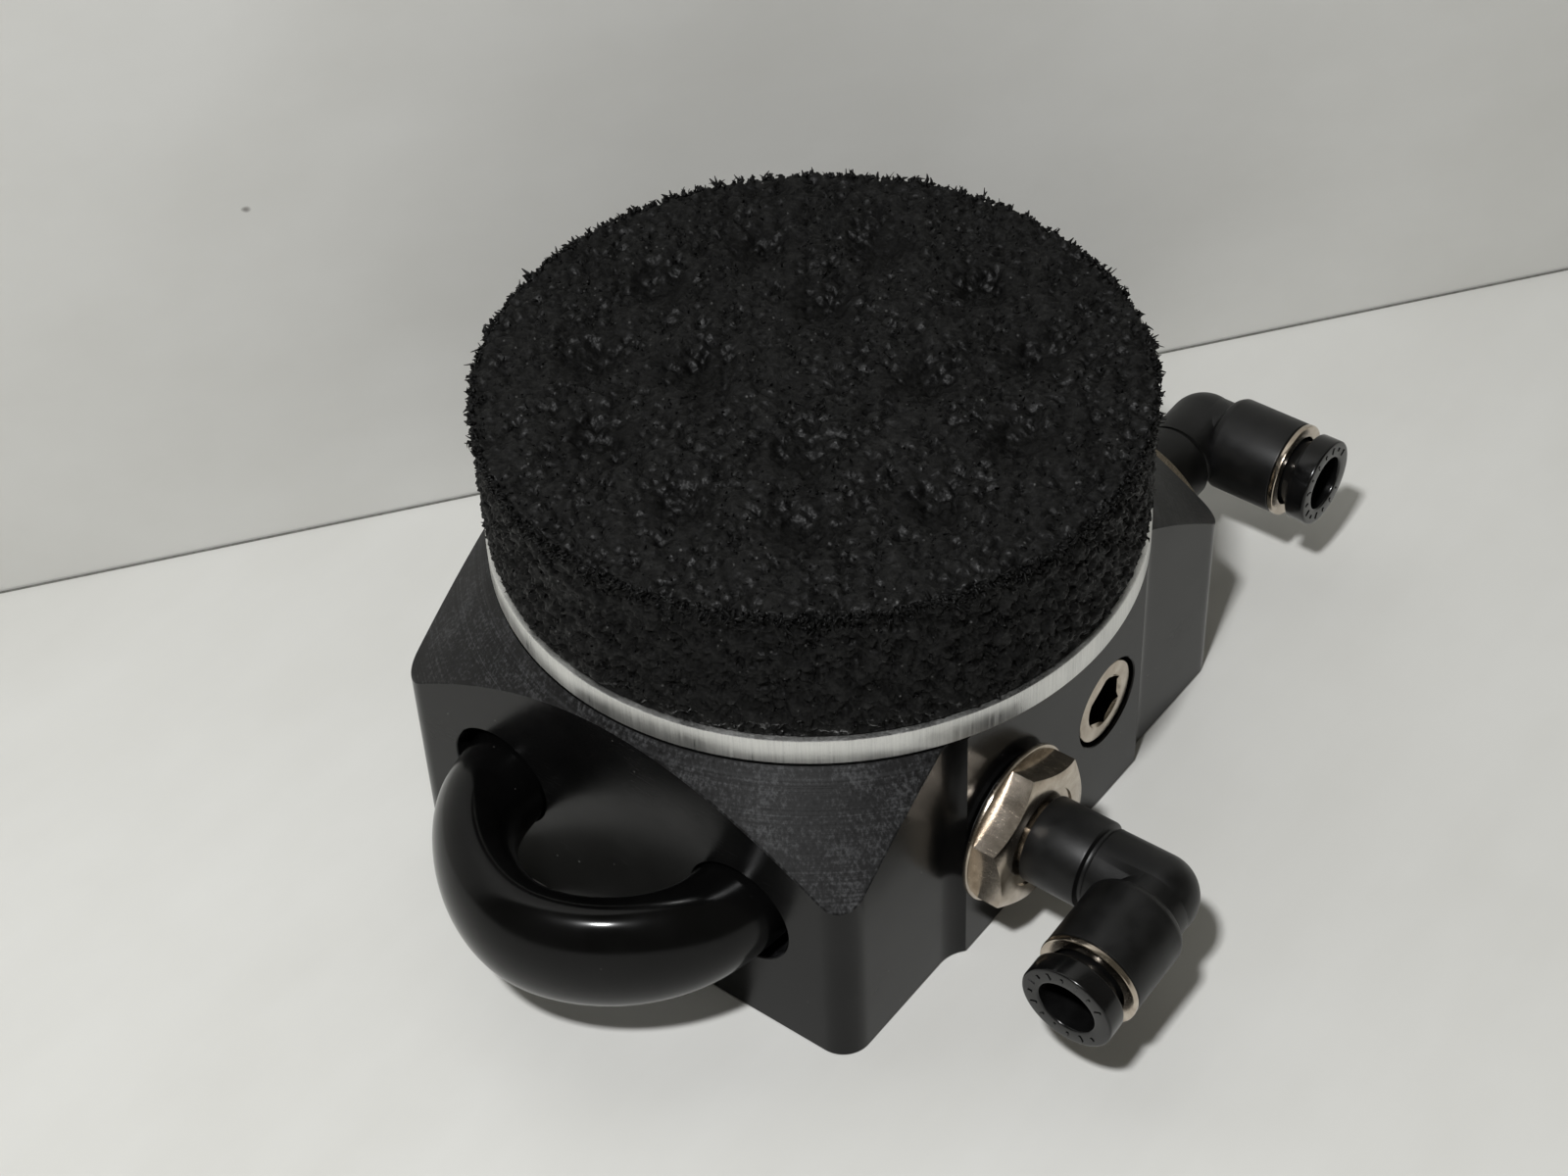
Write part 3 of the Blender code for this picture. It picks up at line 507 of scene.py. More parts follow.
def sponge():
    """Open rubber foam: near-black crumbs with a dull shine, painted shade in its cracks and dimples, and a few
    grey flecks painted in as glints.
    """
    made = Surface("sponge", grey(0.01), 0.5, ior=1.24)
    crumbs = made.cells(made.place, 0.60 * MM)
    tint = made.noise(made.place, 1.1 * MM, 3.0, 0.6)
    pores = made.noise(made.place, 0.28 * MM, 2.0, 0.7)
    painted_shade_openness = made.tree.nodes.new("ShaderNodeAttribute")
    painted_shade_openness.attribute_name = "painted_shade_openness"
    tone = made.colours(
        made.maths("ADD", made.maths("MULTIPLY", tint, 0.6), made.maths("MULTIPLY", pores, 0.4)),
        (0.36, (0.0022, 0.0022, 0.0022)),
        (0.52, (0.0065, 0.0065, 0.0064)),
        (0.66, (0.0190, 0.0190, 0.0187)),
    )
    # Painted highlights: a few grey flecks stand in for small glints on the crumbs
    flecks = made.remap(made.cells(made.place, 1.9 * MM), 0.07, 0.10, 1.0, 0.0)
    tone_with_painted_glints = made.mixed(flecks, tone, (0.085, 0.085, 0.083))
    # Painted shade: the colour goes near black where a point lies less open, in the cracks and over the dimples
    made.link(made.mixed(painted_shade_openness.outputs["Fac"], (0.0006, 0.0006, 0.0006), tone_with_painted_glints), "Base Color")
    made.link(made.remap(pores, 0.3, 0.7, 0.34, 0.60), "Roughness")
    under = made.bump(crumbs, strength=0.45, distance=0.16 * MM)
    made.bump(pores, strength=0.30, distance=0.07 * MM, under=under)
    return made.material


def glossy_hose():
    """Black plastic hose with a mirror shine, faint waves along it and some dust."""
    made = Surface("glossy_hose", grey(0.002), 0.14, ior=1.30)
    waves = made.noise(made.place, 7 * MM, 2.0)
    dust = made.remap(made.cells(made.place, 2.6 * MM), 0.022, 0.034, 1.0, 0.0)
    tone = made.colours(waves, (0.3, grey(0.0015)), (0.7, grey(0.0028)))
    made.link(made.mixed(dust, tone, (0.10, 0.095, 0.09)), "Base Color")
    made.link(made.remap(waves, 0.3, 0.7, 0.13, 0.20), "Roughness")
    made.bump(waves, strength=0.08, distance=0.10 * MM)
    return made.material


def nickel():
    """Warm nickel plate with tiny pits and grain."""
    made = Surface("nickel", (0.80, 0.72, 0.62), 0.24, metallic=1.0)
    grain = made.noise(made.place, 0.16 * MM, 2.0, 0.7)
    cloud = made.noise(made.place, 2.2 * MM, 3.0)
    streaks = made.noise(made.stretched(1.0, 1.0, 9.0), 1.2 * MM, 3.0, 0.6)
    dark, middle, light = (0.42, 0.36, 0.29), (0.53, 0.46, 0.38), (0.64, 0.57, 0.48)
    tone = made.colours(cloud, (0.3, dark), (0.5, middle), (0.7, light))
    pits = made.remap(grain, 0.26, 0.34, 0.7, 0.0)
    made.link(made.mixed(pits, tone, (0.20, 0.17, 0.14)), "Base Color")
    made.link(made.remap(made.maths("ADD", grain, streaks), 0.7, 1.3, 0.14, 0.28), "Roughness")
    under = made.bump(grain, strength=0.18, distance=0.03 * MM)
    made.bump(streaks, strength=0.10, distance=0.05 * MM, under=under)
    return made.material


def moulded_plastic():
    """Glass-filled black plastic with a satin skin and a very fine grain."""
    made = Surface("moulded_plastic", grey(0.006), 0.40, ior=1.40)
    grain = made.noise(made.place, 0.13 * MM, 2.0, 0.6)
    cloud = made.noise(made.place, 3.0 * MM, 3.0)
    tone = made.colours(cloud, (0.3, grey(0.0030)), (0.7, grey(0.0065)))
    flecks = made.remap(made.cells(made.place, 1.1 * MM), 0.030, 0.050, 0.6, 0.0)
    made.link(made.mixed(flecks, tone, grey(0.06)), "Base Color")
    made.link(made.remap(made.maths("ADD", grain, cloud), 0.7, 1.3, 0.33, 0.50), "Roughness")
    made.bump(grain, strength=0.22, distance=0.03 * MM)
    return made.material


def glossy_plastic():
    """Smooth black plastic of the release rings, with fine grain in its shine."""
    made = Surface("glossy_plastic", grey(0.004), 0.15, ior=1.42)
    grain = made.noise(made.place, 0.25 * MM, 2.0)
    cloud = made.noise(made.place, 2.5 * MM, 2.0)
    made.link(made.colours(cloud, (0.3, grey(0.003)), (0.7, grey(0.006))), "Base Color")
    made.link(made.remap(made.maths("ADD", grain, cloud), 0.7, 1.3, 0.12, 0.26), "Roughness")
    made.bump(grain, strength=0.08, distance=0.02 * MM)
    return made.material


def seal_rubber():
    made = Surface("seal_rubber", grey(0.02), 0.65)
    grain = made.noise(made.place, 0.2 * MM, 2.0)
    made.link(made.colours(grain, (0.3, grey(0.006)), (0.7, grey(0.014))), "Base Color")
    made.link(made.remap(grain, 0.3, 0.7, 0.55, 0.8), "Roughness")
    made.bump(grain, strength=0.2, distance=0.03 * MM)
    return made.material


def machined(name, dark, light, roughness):
    """A metal with fine streaks, for the brass, steel and bronze pieces, and for the painted shade inside the
    plug's socket and along the seam.
    """
    made = Surface(name, light, roughness, metallic=1.0)
    streaks = made.noise(made.stretched(1.0, 0.08, 1.0), 0.4 * MM, 3.0, 0.6)
    made.link(made.colours(streaks, (0.35, dark), (0.65, light)), "Base Color")
    made.link(made.remap(streaks, 0.3, 0.7, roughness - 0.08, roughness + 0.10), "Roughness")
    made.bump(streaks, strength=0.15, distance=0.02 * MM)
    return made.material


def painted_board():
    """Pale matte board with faint stains, smears and a few dark specks."""
    made = Surface("pale_board", (0.60, 0.60, 0.58), 0.62, ior=1.45)
    stains = made.noise(made.place, 90 * MM, 5.0, 0.6)
    smears = made.noise(made.stretched(1.0, 0.25, 1.0), 22 * MM, 4.0, 0.6)
    tone = made.colours(
        made.maths("ADD", made.maths("MULTIPLY", stains, 0.6), made.maths("MULTIPLY", smears, 0.4)),
        (0.32, (0.640, 0.636, 0.606)),
        (0.55, (0.690, 0.688, 0.662)),
        (0.72, (0.730, 0.729, 0.706)),
    )
    warped = made.tree.nodes.new("ShaderNodeVectorMath")
    warped.operation = "ADD"
    made.tree.links.new(made.stretched(1.0, 0.10, 1.0), warped.inputs[0])
    made.tree.links.new(made.remap(smears, 0.0, 1.0, -0.004, 0.004), warped.inputs[1])
    specks = made.remap(made.cells(warped.outputs[0], 24 * MM), 0.018, 0.030, 0.8, 0.0)
    made.link(made.mixed(specks, tone, (0.16, 0.15, 0.14)), "Base Color")
    made.link(made.remap(stains, 0.3, 0.7, 0.50, 0.72), "Roughness")
    made.bump(smears, strength=0.06, distance=0.3 * MM)
    return made.material


# ---------------------------------------------------------------- block


def block_outline():
    """Plan of the block: round corners, and the port boss on +X with a concave foot on each side."""
    x_centre = BLOCK_HALF_X - CORNER_RADIUS
    y_centre = BLOCK_HALF_Y - CORNER_RADIUS
    proud = BOSS_X - BLOCK_HALF_X
    width = BOSS_FOOT_HALF_WIDTH - BOSS_HALF_WIDTH
    foot_radius = (width**2 + proud**2) / (2 * proud)
    foot_centre = (BLOCK_HALF_X + foot_radius, BOSS_FOOT_HALF_WIDTH)
    upper_foot = arc(foot_centre, foot_radius, 180, 180 + degrees(asin(width / foot_radius)), 12)
    points = arc((x_centre, -y_centre), CORNER_RADIUS, -90, 0, 16)
    points += [(x, -y) for x, y in upper_foot]
    points += upper_foot[::-1]
    points += arc((x_centre, y_centre), CORNER_RADIUS, 0, 90, 16)
    points += arc((-x_centre, y_centre), CORNER_RADIUS, 90, 180, 16)
    points += arc((-x_centre, -y_centre), CORNER_RADIUS, 180, 270, 16)
    return points


def walked(outline, step):
    """The same closed outline with points added so that none are further apart than step."""
    points = []
    for start, end in zip(outline, outline[1:] + outline[:1]):
        pieces = max(1, round(hypot(end[0] - start[0], end[1] - start[1]) / step))
        for piece in range(pieces):
            part = piece / pieces
            points.append((blend(start[0], end[0], part), blend(start[1], end[1], part)))
    return points


def cone_height(x, y):
    return min(BLOCK_TOP, BLOCK_TOP - (hypot(x, y) - PLATE_RADIUS) * CONE_SLOPE)


def block_columns(x, y, normal):
    """Points of the block's skin up one line of the wall, over the cone and onto the top."""
    base_cut = 0.35 * MM
    edge_cut = 0.14 * MM
    inner = (x - normal.x * edge_cut, y - normal.y * edge_cut)
    inner_radius = hypot(*inner)
    wall_top = cone_height(x, y)
    radius = hypot(x, y)
    column = [
        (x - normal.x * base_cut, y - normal.y * base_cut, 0.0),
        (x, y, base_cut),
        (x, y, wall_top / 2),
        (x, y, wall_top - edge_cut),
        (*inner, cone_height(*inner)),
    ]
    inward = PLATE_RADIUS - inner_radius if radius > PLATE_RADIUS else -0.3 * MM
    for part in (0.5, 1.0):
        scale = (inner_radius + inward * part) / inner_radius
        point = (inner[0] * scale, inner[1] * scale)
        column.append((*point, cone_height(*point)))
    top_radius = 36 * MM
    column.append((x * top_radius / radius, y * top_radius / radius, BLOCK_TOP))
    return column


def block_skin():
    outline = walked(block_outline(), 0.9 * MM)
    count = len(outline)
    columns = []
    for index, (x, y) in enumerate(outline):
        before = Vector(outline[index - 1])
        after = Vector(outline[(index + 1) % count])
        ahead = (after - before).normalized()
        columns.append(block_columns(x, y, Vector((ahead.y, -ahead.x))))
    shape = bmesh.new()
    rows = [[shape.verts.new(point) for point in column] for column in columns]
    for near, far in zip(rows, rows[1:] + rows[:1]):
        for level in range(len(near) - 1):
            shape.faces.new((near[level], far[level], far[level + 1], near[level + 1]))
    shape.faces.new([row[0] for row in rows[::-1]])
    shape.faces.new([row[-1] for row in rows])
    bmesh.ops.recalc_face_normals(shape, faces=shape.faces)
    return shape


def add_mouth(shape, radius, depth, place, chamfer=0.3 * MM, floor=None):
    """A round hole with a chamfered mouth. In its frame Z runs out and the face is at 0."""
    outline = [
        (0, -depth),
        (radius, -depth),
        (radius, -chamfer),
        (radius + chamfer, 0),
        (radius + chamfer, 3 * MM),
        (0, 3 * MM),
    ]
    if floor:
        floor_radius, floor_depth = floor
        outline = [(0, -floor_depth), (floor_radius, -floor_depth), (floor_radius, -depth)] + outline[1:]
    add_turned(shape, outline, ROUND, place)


def block_holes():
    """Ports, hose holes, chamber, exhaust holes, screw holes and mounting holes."""
    shape = bmesh.new()
    front = Matrix.Translation((0, -BLOCK_HALF_Y, PORT_HEIGHT)) @ Matrix.Rotation(pi / 2, 4, "X")
    back = Matrix.Translation((0, BLOCK_HALF_Y, PORT_HEIGHT)) @ Matrix.Rotation(-pi / 2, 4, "X")
    east = Matrix.Translation((BOSS_X, 0, PORT_HEIGHT)) @ Matrix.Rotation(pi / 2, 4, "Y")
    west = Matrix.Translation((-BLOCK_HALF_X, 0, PORT_HEIGHT)) @ Matrix.Rotation(-pi / 2, 4, "Y")
    fine = 0.15 * MM
    hose_floor = (BORE_RADIUS, 2 * HOSE_HOLE_DEPTH)
    for x in (-BORE_OFFSET_X, BORE_OFFSET_X):
        add_mouth(shape, HOSE_HOLE_RADIUS, HOSE_HOLE_DEPTH, at(x, 0) @ front, fine, hose_floor)
    add_mouth(shape, PORT_RADIUS, SUPPLY_PORT_DEPTH, at(BORE_OFFSET_X, 0) @ back)
    add_mouth(shape, PORT_RADIUS, VACUUM_PORT_DEPTH, at(0, -PORT_OFFSET_Y) @ east)
    add_mouth(shape, PLUG_HOLE_RADIUS, PLUG_HOLE_DEPTH, at(0, PORT_OFFSET_Y) @ east, fine)
    for y in EXHAUST_HOLES_Y:
        add_mouth(shape, EXHAUST_HOLE_RADIUS, EXHAUST_HOLE_DEPTH, at(0, y) @ west)
    down = Matrix.Rotation(pi, 4, "X")
    through = (SCREW_HOLE_RADIUS, 50 * MM)
    for x, y in four_places(*SCREW_PLACE):
        head = (SCREW_HEAD_HOLE_RADIUS, SCREW_HEAD_HOLE_DEPTH)
        add_mouth(shape, *head, at(x, y) @ down, floor=through)
    for x, y in four_places(*MOUNT_HOLE_PLACE):
        add_mouth(shape, MOUNT_HOLE_RADIUS, MOUNT_HOLE_DEPTH, at(x, y) @ down, 0.5 * MM)
    add_rod(shape, CHAMBER_RADIUS, CHAMBER_FLOOR, BLOCK_TOP + 5 * MM)
    return shape


def make_block():
    block = make_object("block", block_skin(), BLOCK_SHARP_EDGE)
    combine(block, block_holes(), "DIFFERENCE")
    mesh = block.data
    mesh.set_sharp_from_angle(angle=radians(BLOCK_SHARP_EDGE))
    mesh.materials.clear()
    mesh.materials.append(MILLED)
    mesh.materials.append(turned_anodised())
    for face in mesh.polygons:
        middle = face.center
        on_cone = 0.3 < face.normal.z < 0.9 and hypot(middle.x, middle.y) > PLATE_RADIUS - 0.2 * MM
        face.material_index = 1 if on_cone and middle.z > 5 * MM else 0
    finish_piece(block, None, "gripper", "anodised", "body")


# ---------------------------------------------------------------- plate and pad


def make_plate():
    edge = 0.22 * MM
    low, high = PLATE_LOW.z, PLATE_HIGH.z
    outline = softened([(0, low), (PLATE_RADIUS, low), (PLATE_RADIUS, high), (0, high)], edge, 2)
    plate = make_object("plate", turned(outline, 360), 50)
    holes = bmesh.new()
    for x, y in ring_places(*OUTER_RING) + ring_places(*INNER_RING):
        add_rod(holes, SUCTION_HOLE_RADIUS, low - 2 * MM, high + 2 * MM, 24, at(x, y))
    for x, y in four_places(*SCREW_PLACE):
        add_rod(holes, SCREW_HOLE_RADIUS, low - 2 * MM, high + 2 * MM, 32, at(x, y))
    combine(plate, holes, "DIFFERENCE")
    finish_piece(plate, turned_plate(), "gripper", "turned_aluminium", "suction_plate")


def cell_noise(points, size, seed):
    """Distances to the nearest and second nearest of scattered seeds, in cells of that size."""
    scaled = points / size
    base = np.floor(scaled).astype(np.int64)
    nearest = np.full(len(points), 9.0)
    second = np.full(len(points), 9.0)
    for offset in np.ndindex(3, 3, 3):
        cell = base + np.array(offset) - 1
        mixed = (cell[:, 0] * 73856093) ^ (cell[:, 1] * 19349663) ^ (cell[:, 2] * 83492791) ^ (seed * 2654435)
        distance = np.zeros(len(points))
        for axis in range(3):
            mixed = (mixed * 1103515245 + 12345) & 0x7FFFFFFF
            jitter = (mixed >> 7) % 4096 / 4096
            distance += (cell[:, axis] + jitter - scaled[:, axis]) ** 2
        distance = np.sqrt(distance)
        second = np.minimum(second, np.maximum(nearest, distance))
        nearest = np.minimum(nearest, distance)
    return nearest, second


def smooth_noise(points, size, seed):
    """Gentle lumps between about -1 and 1, from a few crossed waves."""
    generator = np.random.default_rng(seed)
    total = np.zeros(len(points))
    for _ in range(7):
        direction = generator.normal(size=3)
        direction /= np.linalg.norm(direction)
        rate = 2 * pi / size * generator.uniform(0.7, 1.5)
        total += np.sin(points @ direction * rate + generator.uniform(0, 2 * pi))
    return total / 3.5


def sponge_blank():
    """The pad before its crumbs: a remeshed disc, slightly inside its CAD solid."""
    inset = 0.35 * MM
    radius = FOAM_HIGH.x - inset
    low, high = FOAM_LOW.z, FOAM_HIGH.z - inset
    rim = 0.9 * MM
    side = [(0, low), (radius - 0.5 * MM, low), (radius, low + 3 * MM), (radius, high - rim)]
    outline = side + [(radius - 0.3 * rim, high - 0.3 * rim), (radius - rim, high), (0, high)]
    blank = make_object("sponge_pad", turned(outline, 180))
    remesh = blank.modifiers.new("even", "REMESH")
    remesh.mode = "VOXEL"
    remesh.voxel_size = SPONGE_VOXEL
    apply_modifiers(blank)
    return blank


def hump(distance, width):
    return np.exp(-((distance / width) ** 2))


def dimple_depth(x, y):
    """How far the pad's top is drawn down over the plate's holes."""
    depth = 0.0
    for centre_x, centre_y in ring_places(*OUTER_RING) + ring_places(*INNER_RING):
        away = np.hypot(x - centre_x, y - centre_y)
        depth = depth + DIMPLE_DEPTH * hump(away, DIMPLE_RADIUS)
    return depth


def crown_height(x, y):
    return CROWN * np.clip(1 - np.hypot(x, y) / FOAM_HIGH.x, 0, 1)


def read_vectors(items, field):
    """A row of three numbers for each item of a mesh."""
    values = np.empty(len(items) * 3, np.float32)
    items.foreach_get(field, values)
    return values.reshape(-1, 3).astype(float)


def crumble(blank):
    """Pushes the blank's skin into crumbs, cracks and dimples, and notes how open each point lies, which paints
    shade into its cracks and dimples.
    """
    mesh = blank.data
    places = read_vectors(mesh.vertices, "co")
    normals = read_vectors(mesh.vertex_normals, "vector")
    generator = np.random.default_rng(3)
    warp = np.stack([smooth_noise(places, 2 * MM, seed) for seed in (1, 2, 3)], axis=1)
    flattened = (places + warp * 0.35 * MM) * np.array((1.0, 1.0, 1.35))
    near, far = cell_noise(flattened, CRUMB_SIZE, 5)
    fine_near, fine_far = cell_noise(flattened, FINE_CRUMB_SIZE, 9)
    cracks = hump(far - near, 0.20)
    fine_cracks = hump(fine_far - fine_near, 0.22)
    patchy = np.clip(0.6 + 0.6 * smooth_noise(places, 4 * MM, 8), 0, 1)
    depth = CRUMB_RISE * (0.5 - near) - CRACK_DEPTH * cracks * patchy
    depth += FINE_CRUMB_RISE * (0.5 - fine_near) - FINE_CRACK_DEPTH * fine_cracks
    depth += 0.18 * MM * smooth_noise(places, 3 * MM, 4)
    depth += 0.03 * MM * generator.normal(size=len(places))
    depth[places[:, 2] < FOAM_LOW.z + 0.3 * MM] = 0.0
    moved = places + normals * depth[:, None]
    upper = np.clip((places[:, 2] - FOAM_HIGH.z + 6 * MM) / (4 * MM), 0, 1)
    dimples = dimple_depth(places[:, 0], places[:, 1]) * upper
    moved[:, 2] += crown_height(places[:, 0], places[:, 1]) * upper - dimples
    moved[:, 2] = np.maximum(moved[:, 2], FOAM_LOW.z)
    mesh.vertices.foreach_set("co", moved.astype(np.float32).ravel())
    # Painted shade: lower openness in the cracks and over the dimples darkens the colour
    painted_shade_openness = 1 - 0.75 * cracks * patchy - 0.35 * fine_cracks - DIMPLE_SHADE * dimples / MM
    painted_shade_openness = np.clip(painted_shade_openness, DARKEST_PAINTED_SHADE, 1).astype(np.float32)
    mesh.attributes.new("painted_shade_openness", "FLOAT", "POINT").data.foreach_set("value", painted_shade_openness)
    mesh.update()


def add_strand(shape, generator, foot, outward, size):
    """One torn strut of the foam: a stubby three-sided crumb that bends to one side."""
    direction = (Vector(outward) + Vector(generator.normal(size=3)) * 0.6).normalized()
    width = generator.uniform(0.22, 0.42) * size
    length = generator.uniform(0.35, 1.1) * size
    side = direction.orthogonal().normalized()
    other = direction.cross(side)
    turn = generator.uniform(0, 2 * pi)
    angles = [turn + step * 2 * pi / 3 for step in range(3)]
    corners = [side * cos(angle) + other * sin(angle) for angle in angles]
    start = Vector(foot) - direction * 0.35 * size
    knee = start + direction * (0.35 * size + length * 0.6) + Vector(generator.normal(size=3)) * 0.25 * length
    tip_place = knee + (direction * 0.3 + Vector(generator.normal(size=3)) * 0.6) * length * 0.7
    base = [shape.verts.new(start + corner * width) for corner in corners]
    middle = [shape.verts.new(knee + corner * width * generator.uniform(0.5, 1.1)) for corner in corners]
    tip = [shape.verts.new(tip_place + corner * width * 0.25) for corner in corners]
    shape.faces.new(base[::-1])
    shape.faces.new(tip)
    join_rings(shape, base, middle)
    join_rings(shape, middle, tip)


def add_torn_edge(shape):
    """Clumps of crumbs torn out at the rim, and single ones over the top and round the side."""
    generator = np.random.default_rng(11)
    radius = FOAM_HIGH.x - 0.75 * MM
    top = FOAM_HIGH.z - 0.6 * MM
    for _ in range(RIM_CLUMPS):
        angle = generator.uniform(0, 2 * pi)
        drop = abs(generator.normal()) * 1.2 * MM
        foot = (radius * cos(angle), radius * sin(angle), top - drop)
        size = generator.uniform(0.6, 1.05) * MM
        for _ in range(generator.integers(2, 5)):
            outward = (cos(angle), sin(angle), generator.uniform(-0.3, 1.2))
            add_strand(shape, generator, foot, outward, size)
    for _ in range(TOP_CRUMBS):
        angle = generator.uniform(0, 2 * pi)
        reach = (radius - 0.5 * MM) * sqrt(generator.uniform(0.0, 1.0))
        x, y = reach * cos(angle), reach * sin(angle)
        if dimple_depth(x, y) < 0.35 * MM:
            foot = (x, y, top + crown_height(x, y))
            add_strand(shape, generator, foot, (0.6 * cos(angle), 0.6 * sin(angle), 0.7), 0.45 * MM)
    for _ in range(SIDE_CRUMBS):
        angle = generator.uniform(0, 2 * pi)
        height = generator.uniform(FOAM_LOW.z + 1 * MM, top)
        foot = (radius * cos(angle), radius * sin(angle), height)
        add_strand(shape, generator, foot, (cos(angle), sin(angle), generator.uniform(-0.3, 0.5)), 0.60 * MM)


def make_sponge():
    pad = sponge_blank()
    crumble(pad)
    shape = bmesh.new()
    shape.from_mesh(pad.data)
    layer = shape.verts.layers.float["painted_shade_openness"]
    count = len(shape.verts)
    add_torn_edge(shape)
    shape.verts.ensure_lookup_table()
    # Painted shade on the strands too: a little everywhere, and more over the dimples
    for vertex in shape.verts[count:]:
        on_top = vertex.co.z > FOAM_HIGH.z - 5 * MM
        shade = DIMPLE_SHADE * dimple_depth(vertex.co.x, vertex.co.y) / MM if on_top else 0.0
        vertex[layer] = max(DARKEST_PAINTED_SHADE, 0.85 - shade)
    shape.to_mesh(pad.data)
    shape.free()
    pad.data.shade_smooth()
    finish_piece(pad, sponge(), "gripper", "sponge_rubber", "foam_pad")


# ---------------------------------------------------------------- hose and plug


def hose_path(steps):
    """Centre line of the hose from one hole to the other, and how far each point is bent, 0 to 1."""
    face = -BLOCK_HALF_Y
    inside = 11
    lean = (BORE_OFFSET_X - HOSE_HALF_SPAN) / inside
    ends = [(HOSE_HALF_SPAN + lean * depth, face + depth * MM) for depth in range(inside, -1, -1)]
    points = [(-x, y, 0.0) for x, y in ends]
    for step in range(steps + 1):
        angle = pi * step / steps
        along = cos(angle)
        reach = sin(angle) ** HOSE_BEND_POWER if 0 < step < steps else 0.0
        x = -HOSE_HALF_SPAN * abs(along) ** HOSE_BEND_POWER * (1 if along > 0 else -1)
        points.append((x, face - HOSE_STRAIGHT - HOSE_REACH * reach, min(1.0, reach / HOSE_OVAL_FROM)))
    points += [(x, y, 0.0) for x, y in ends[::-1]]
    for _ in range(HOSE_EASING):
        triples = zip(points, points[1:], points[2:])
        points = points[:1] + [tuple(np.mean(triple, axis=0)) for triple in triples] + points[-1:]
    return points


def make_hose():
    """A hose bent this tightly goes oval: thinner in the plane of the bend and taller across it."""
    path = hose_path(96)
    wall = HOSE_RADIUS - HOSE_BORE
    segments = 64
    shape = bmesh.new()
    skins = ([], [])
    for index, (x, y, bent) in enumerate(path):
        before = path[max(index - 1, 0)]
        after = path[min(index + 1, len(path) - 1)]
        ahead = Vector((after[0] - before[0], after[1] - before[1], 0)).normalized()
        across = Vector((ahead.y, -ahead.x, 0))
        eased = sin(bent * pi / 2)
        half_thickness = blend(HOSE_RADIUS, HOSE_HALF_THICKNESS, eased)
        half_height = blend(HOSE_RADIUS, HOSE_HALF_HEIGHT, eased)
        for skin, inset in zip(skins, (0.0, wall)):
            ring = []
            for turn in (2 * pi * step / segments for step in range(segments)):
                offset = across * (half_thickness - inset) * cos(turn)
                offset.z = (half_height - inset) * sin(turn)
                ring.append(shape.verts.new(Vector((x, y, PORT_HEIGHT)) + offset))
            skin.append(ring)
    for skin in skins:
        for near, far in zip(skin, skin[1:]):
            join_rings(shape, near, far)
    for end in (0, -1):
        join_rings(shape, skins[0][end], skins[1][end])
    bmesh.ops.recalc_face_normals(shape, faces=shape.faces)
    hose = make_object("hose", shape, 60)
    finish_piece(hose, glossy_hose(), "gripper", "gloss_hose", "link_hose")


def make_plug():
    """Flush plug with a hexagon socket, whose inside is painted darker than the plated face as shade in the
    recess.
    """
    face = PLUG_HIGH.x
    back = PLUG_LOW.x
    radius = (PLUG_HIGH.y - PLUG_LOW.y) / 2
    lead = 0.8 * MM
    outline = [(0, back), (5.4 * MM, back), (radius, back + lead), (radius, face), (0, face)]
    place = along_x(PORT_OFFSET_Y, PORT_HEIGHT)
    plug = make_object("plug", turned(softened(outline, 0.3 * MM), ROUND, place))
    socket = bmesh.new()
    corner = PLUG_KEY / sqrt(3)
    add_prism(socket, circle(corner, 6), face - PLUG_KEY_DEPTH, face + 3 * MM, place)
    combine(plug, socket, "DIFFERENCE")
    low, high = face - 0.35 * MM, face + 0.1 * MM
    mouth = [(0, low), (corner - 0.35 * MM, low), (corner + 0.1 * MM, high), (0, high)]
    combine(plug, turned(mouth, ROUND, place), "DIFFERENCE")
    plug.data.materials.append(NICKEL)
    # Painted shade: the faces deep in the socket get a near-black metal
    plug.data.materials.append(machined("painted_socket_shade", (0.012, 0.010, 0.009), (0.03, 0.027, 0.023), 0.45))
    for side in plug.data.polygons:
        middle = side.center
        inside = hypot(middle.y - PORT_OFFSET_Y, middle.z - PORT_HEIGHT) < corner
        side.material_index = 1 if inside and middle.x < face - 0.45 * MM else 0
    finish_piece(plug, None, "gripper", "nickel", "port_plug")


# ---------------------------------------------------------------- fittings


def fitting_frames(name):
    """Frames of the port (Z outwards), the turned elbow (X along its outlet) and the outlet."""
    swivel = JOINTS[f"{name}_elbow_swivel"]
    outward = Vector(swivel["axis"]).normalized()
    outlet = -Vector(JOINTS[f"{name}_tube_release"]["axis"]).normalized()
    origin = Vector(swivel["pos_m"]) - outward * ELBOW_HEIGHT
    port = framed(origin, outward, outward.cross(Vector((0, 0, 1))))
    elbow = framed(origin, outward, outlet)
    mouth = elbow @ at(0, 0, ELBOW_HEIGHT) @ Matrix.Rotation(pi / 2, 4, "Y")
    return port, elbow, mouth


def framed(origin, up, ahead):
    """A frame at origin with Z along up and X along ahead."""
    side = up.cross(ahead)
    place = Matrix((ahead, side, up)).transposed().to_4x4()
    place.translation = origin
    return place


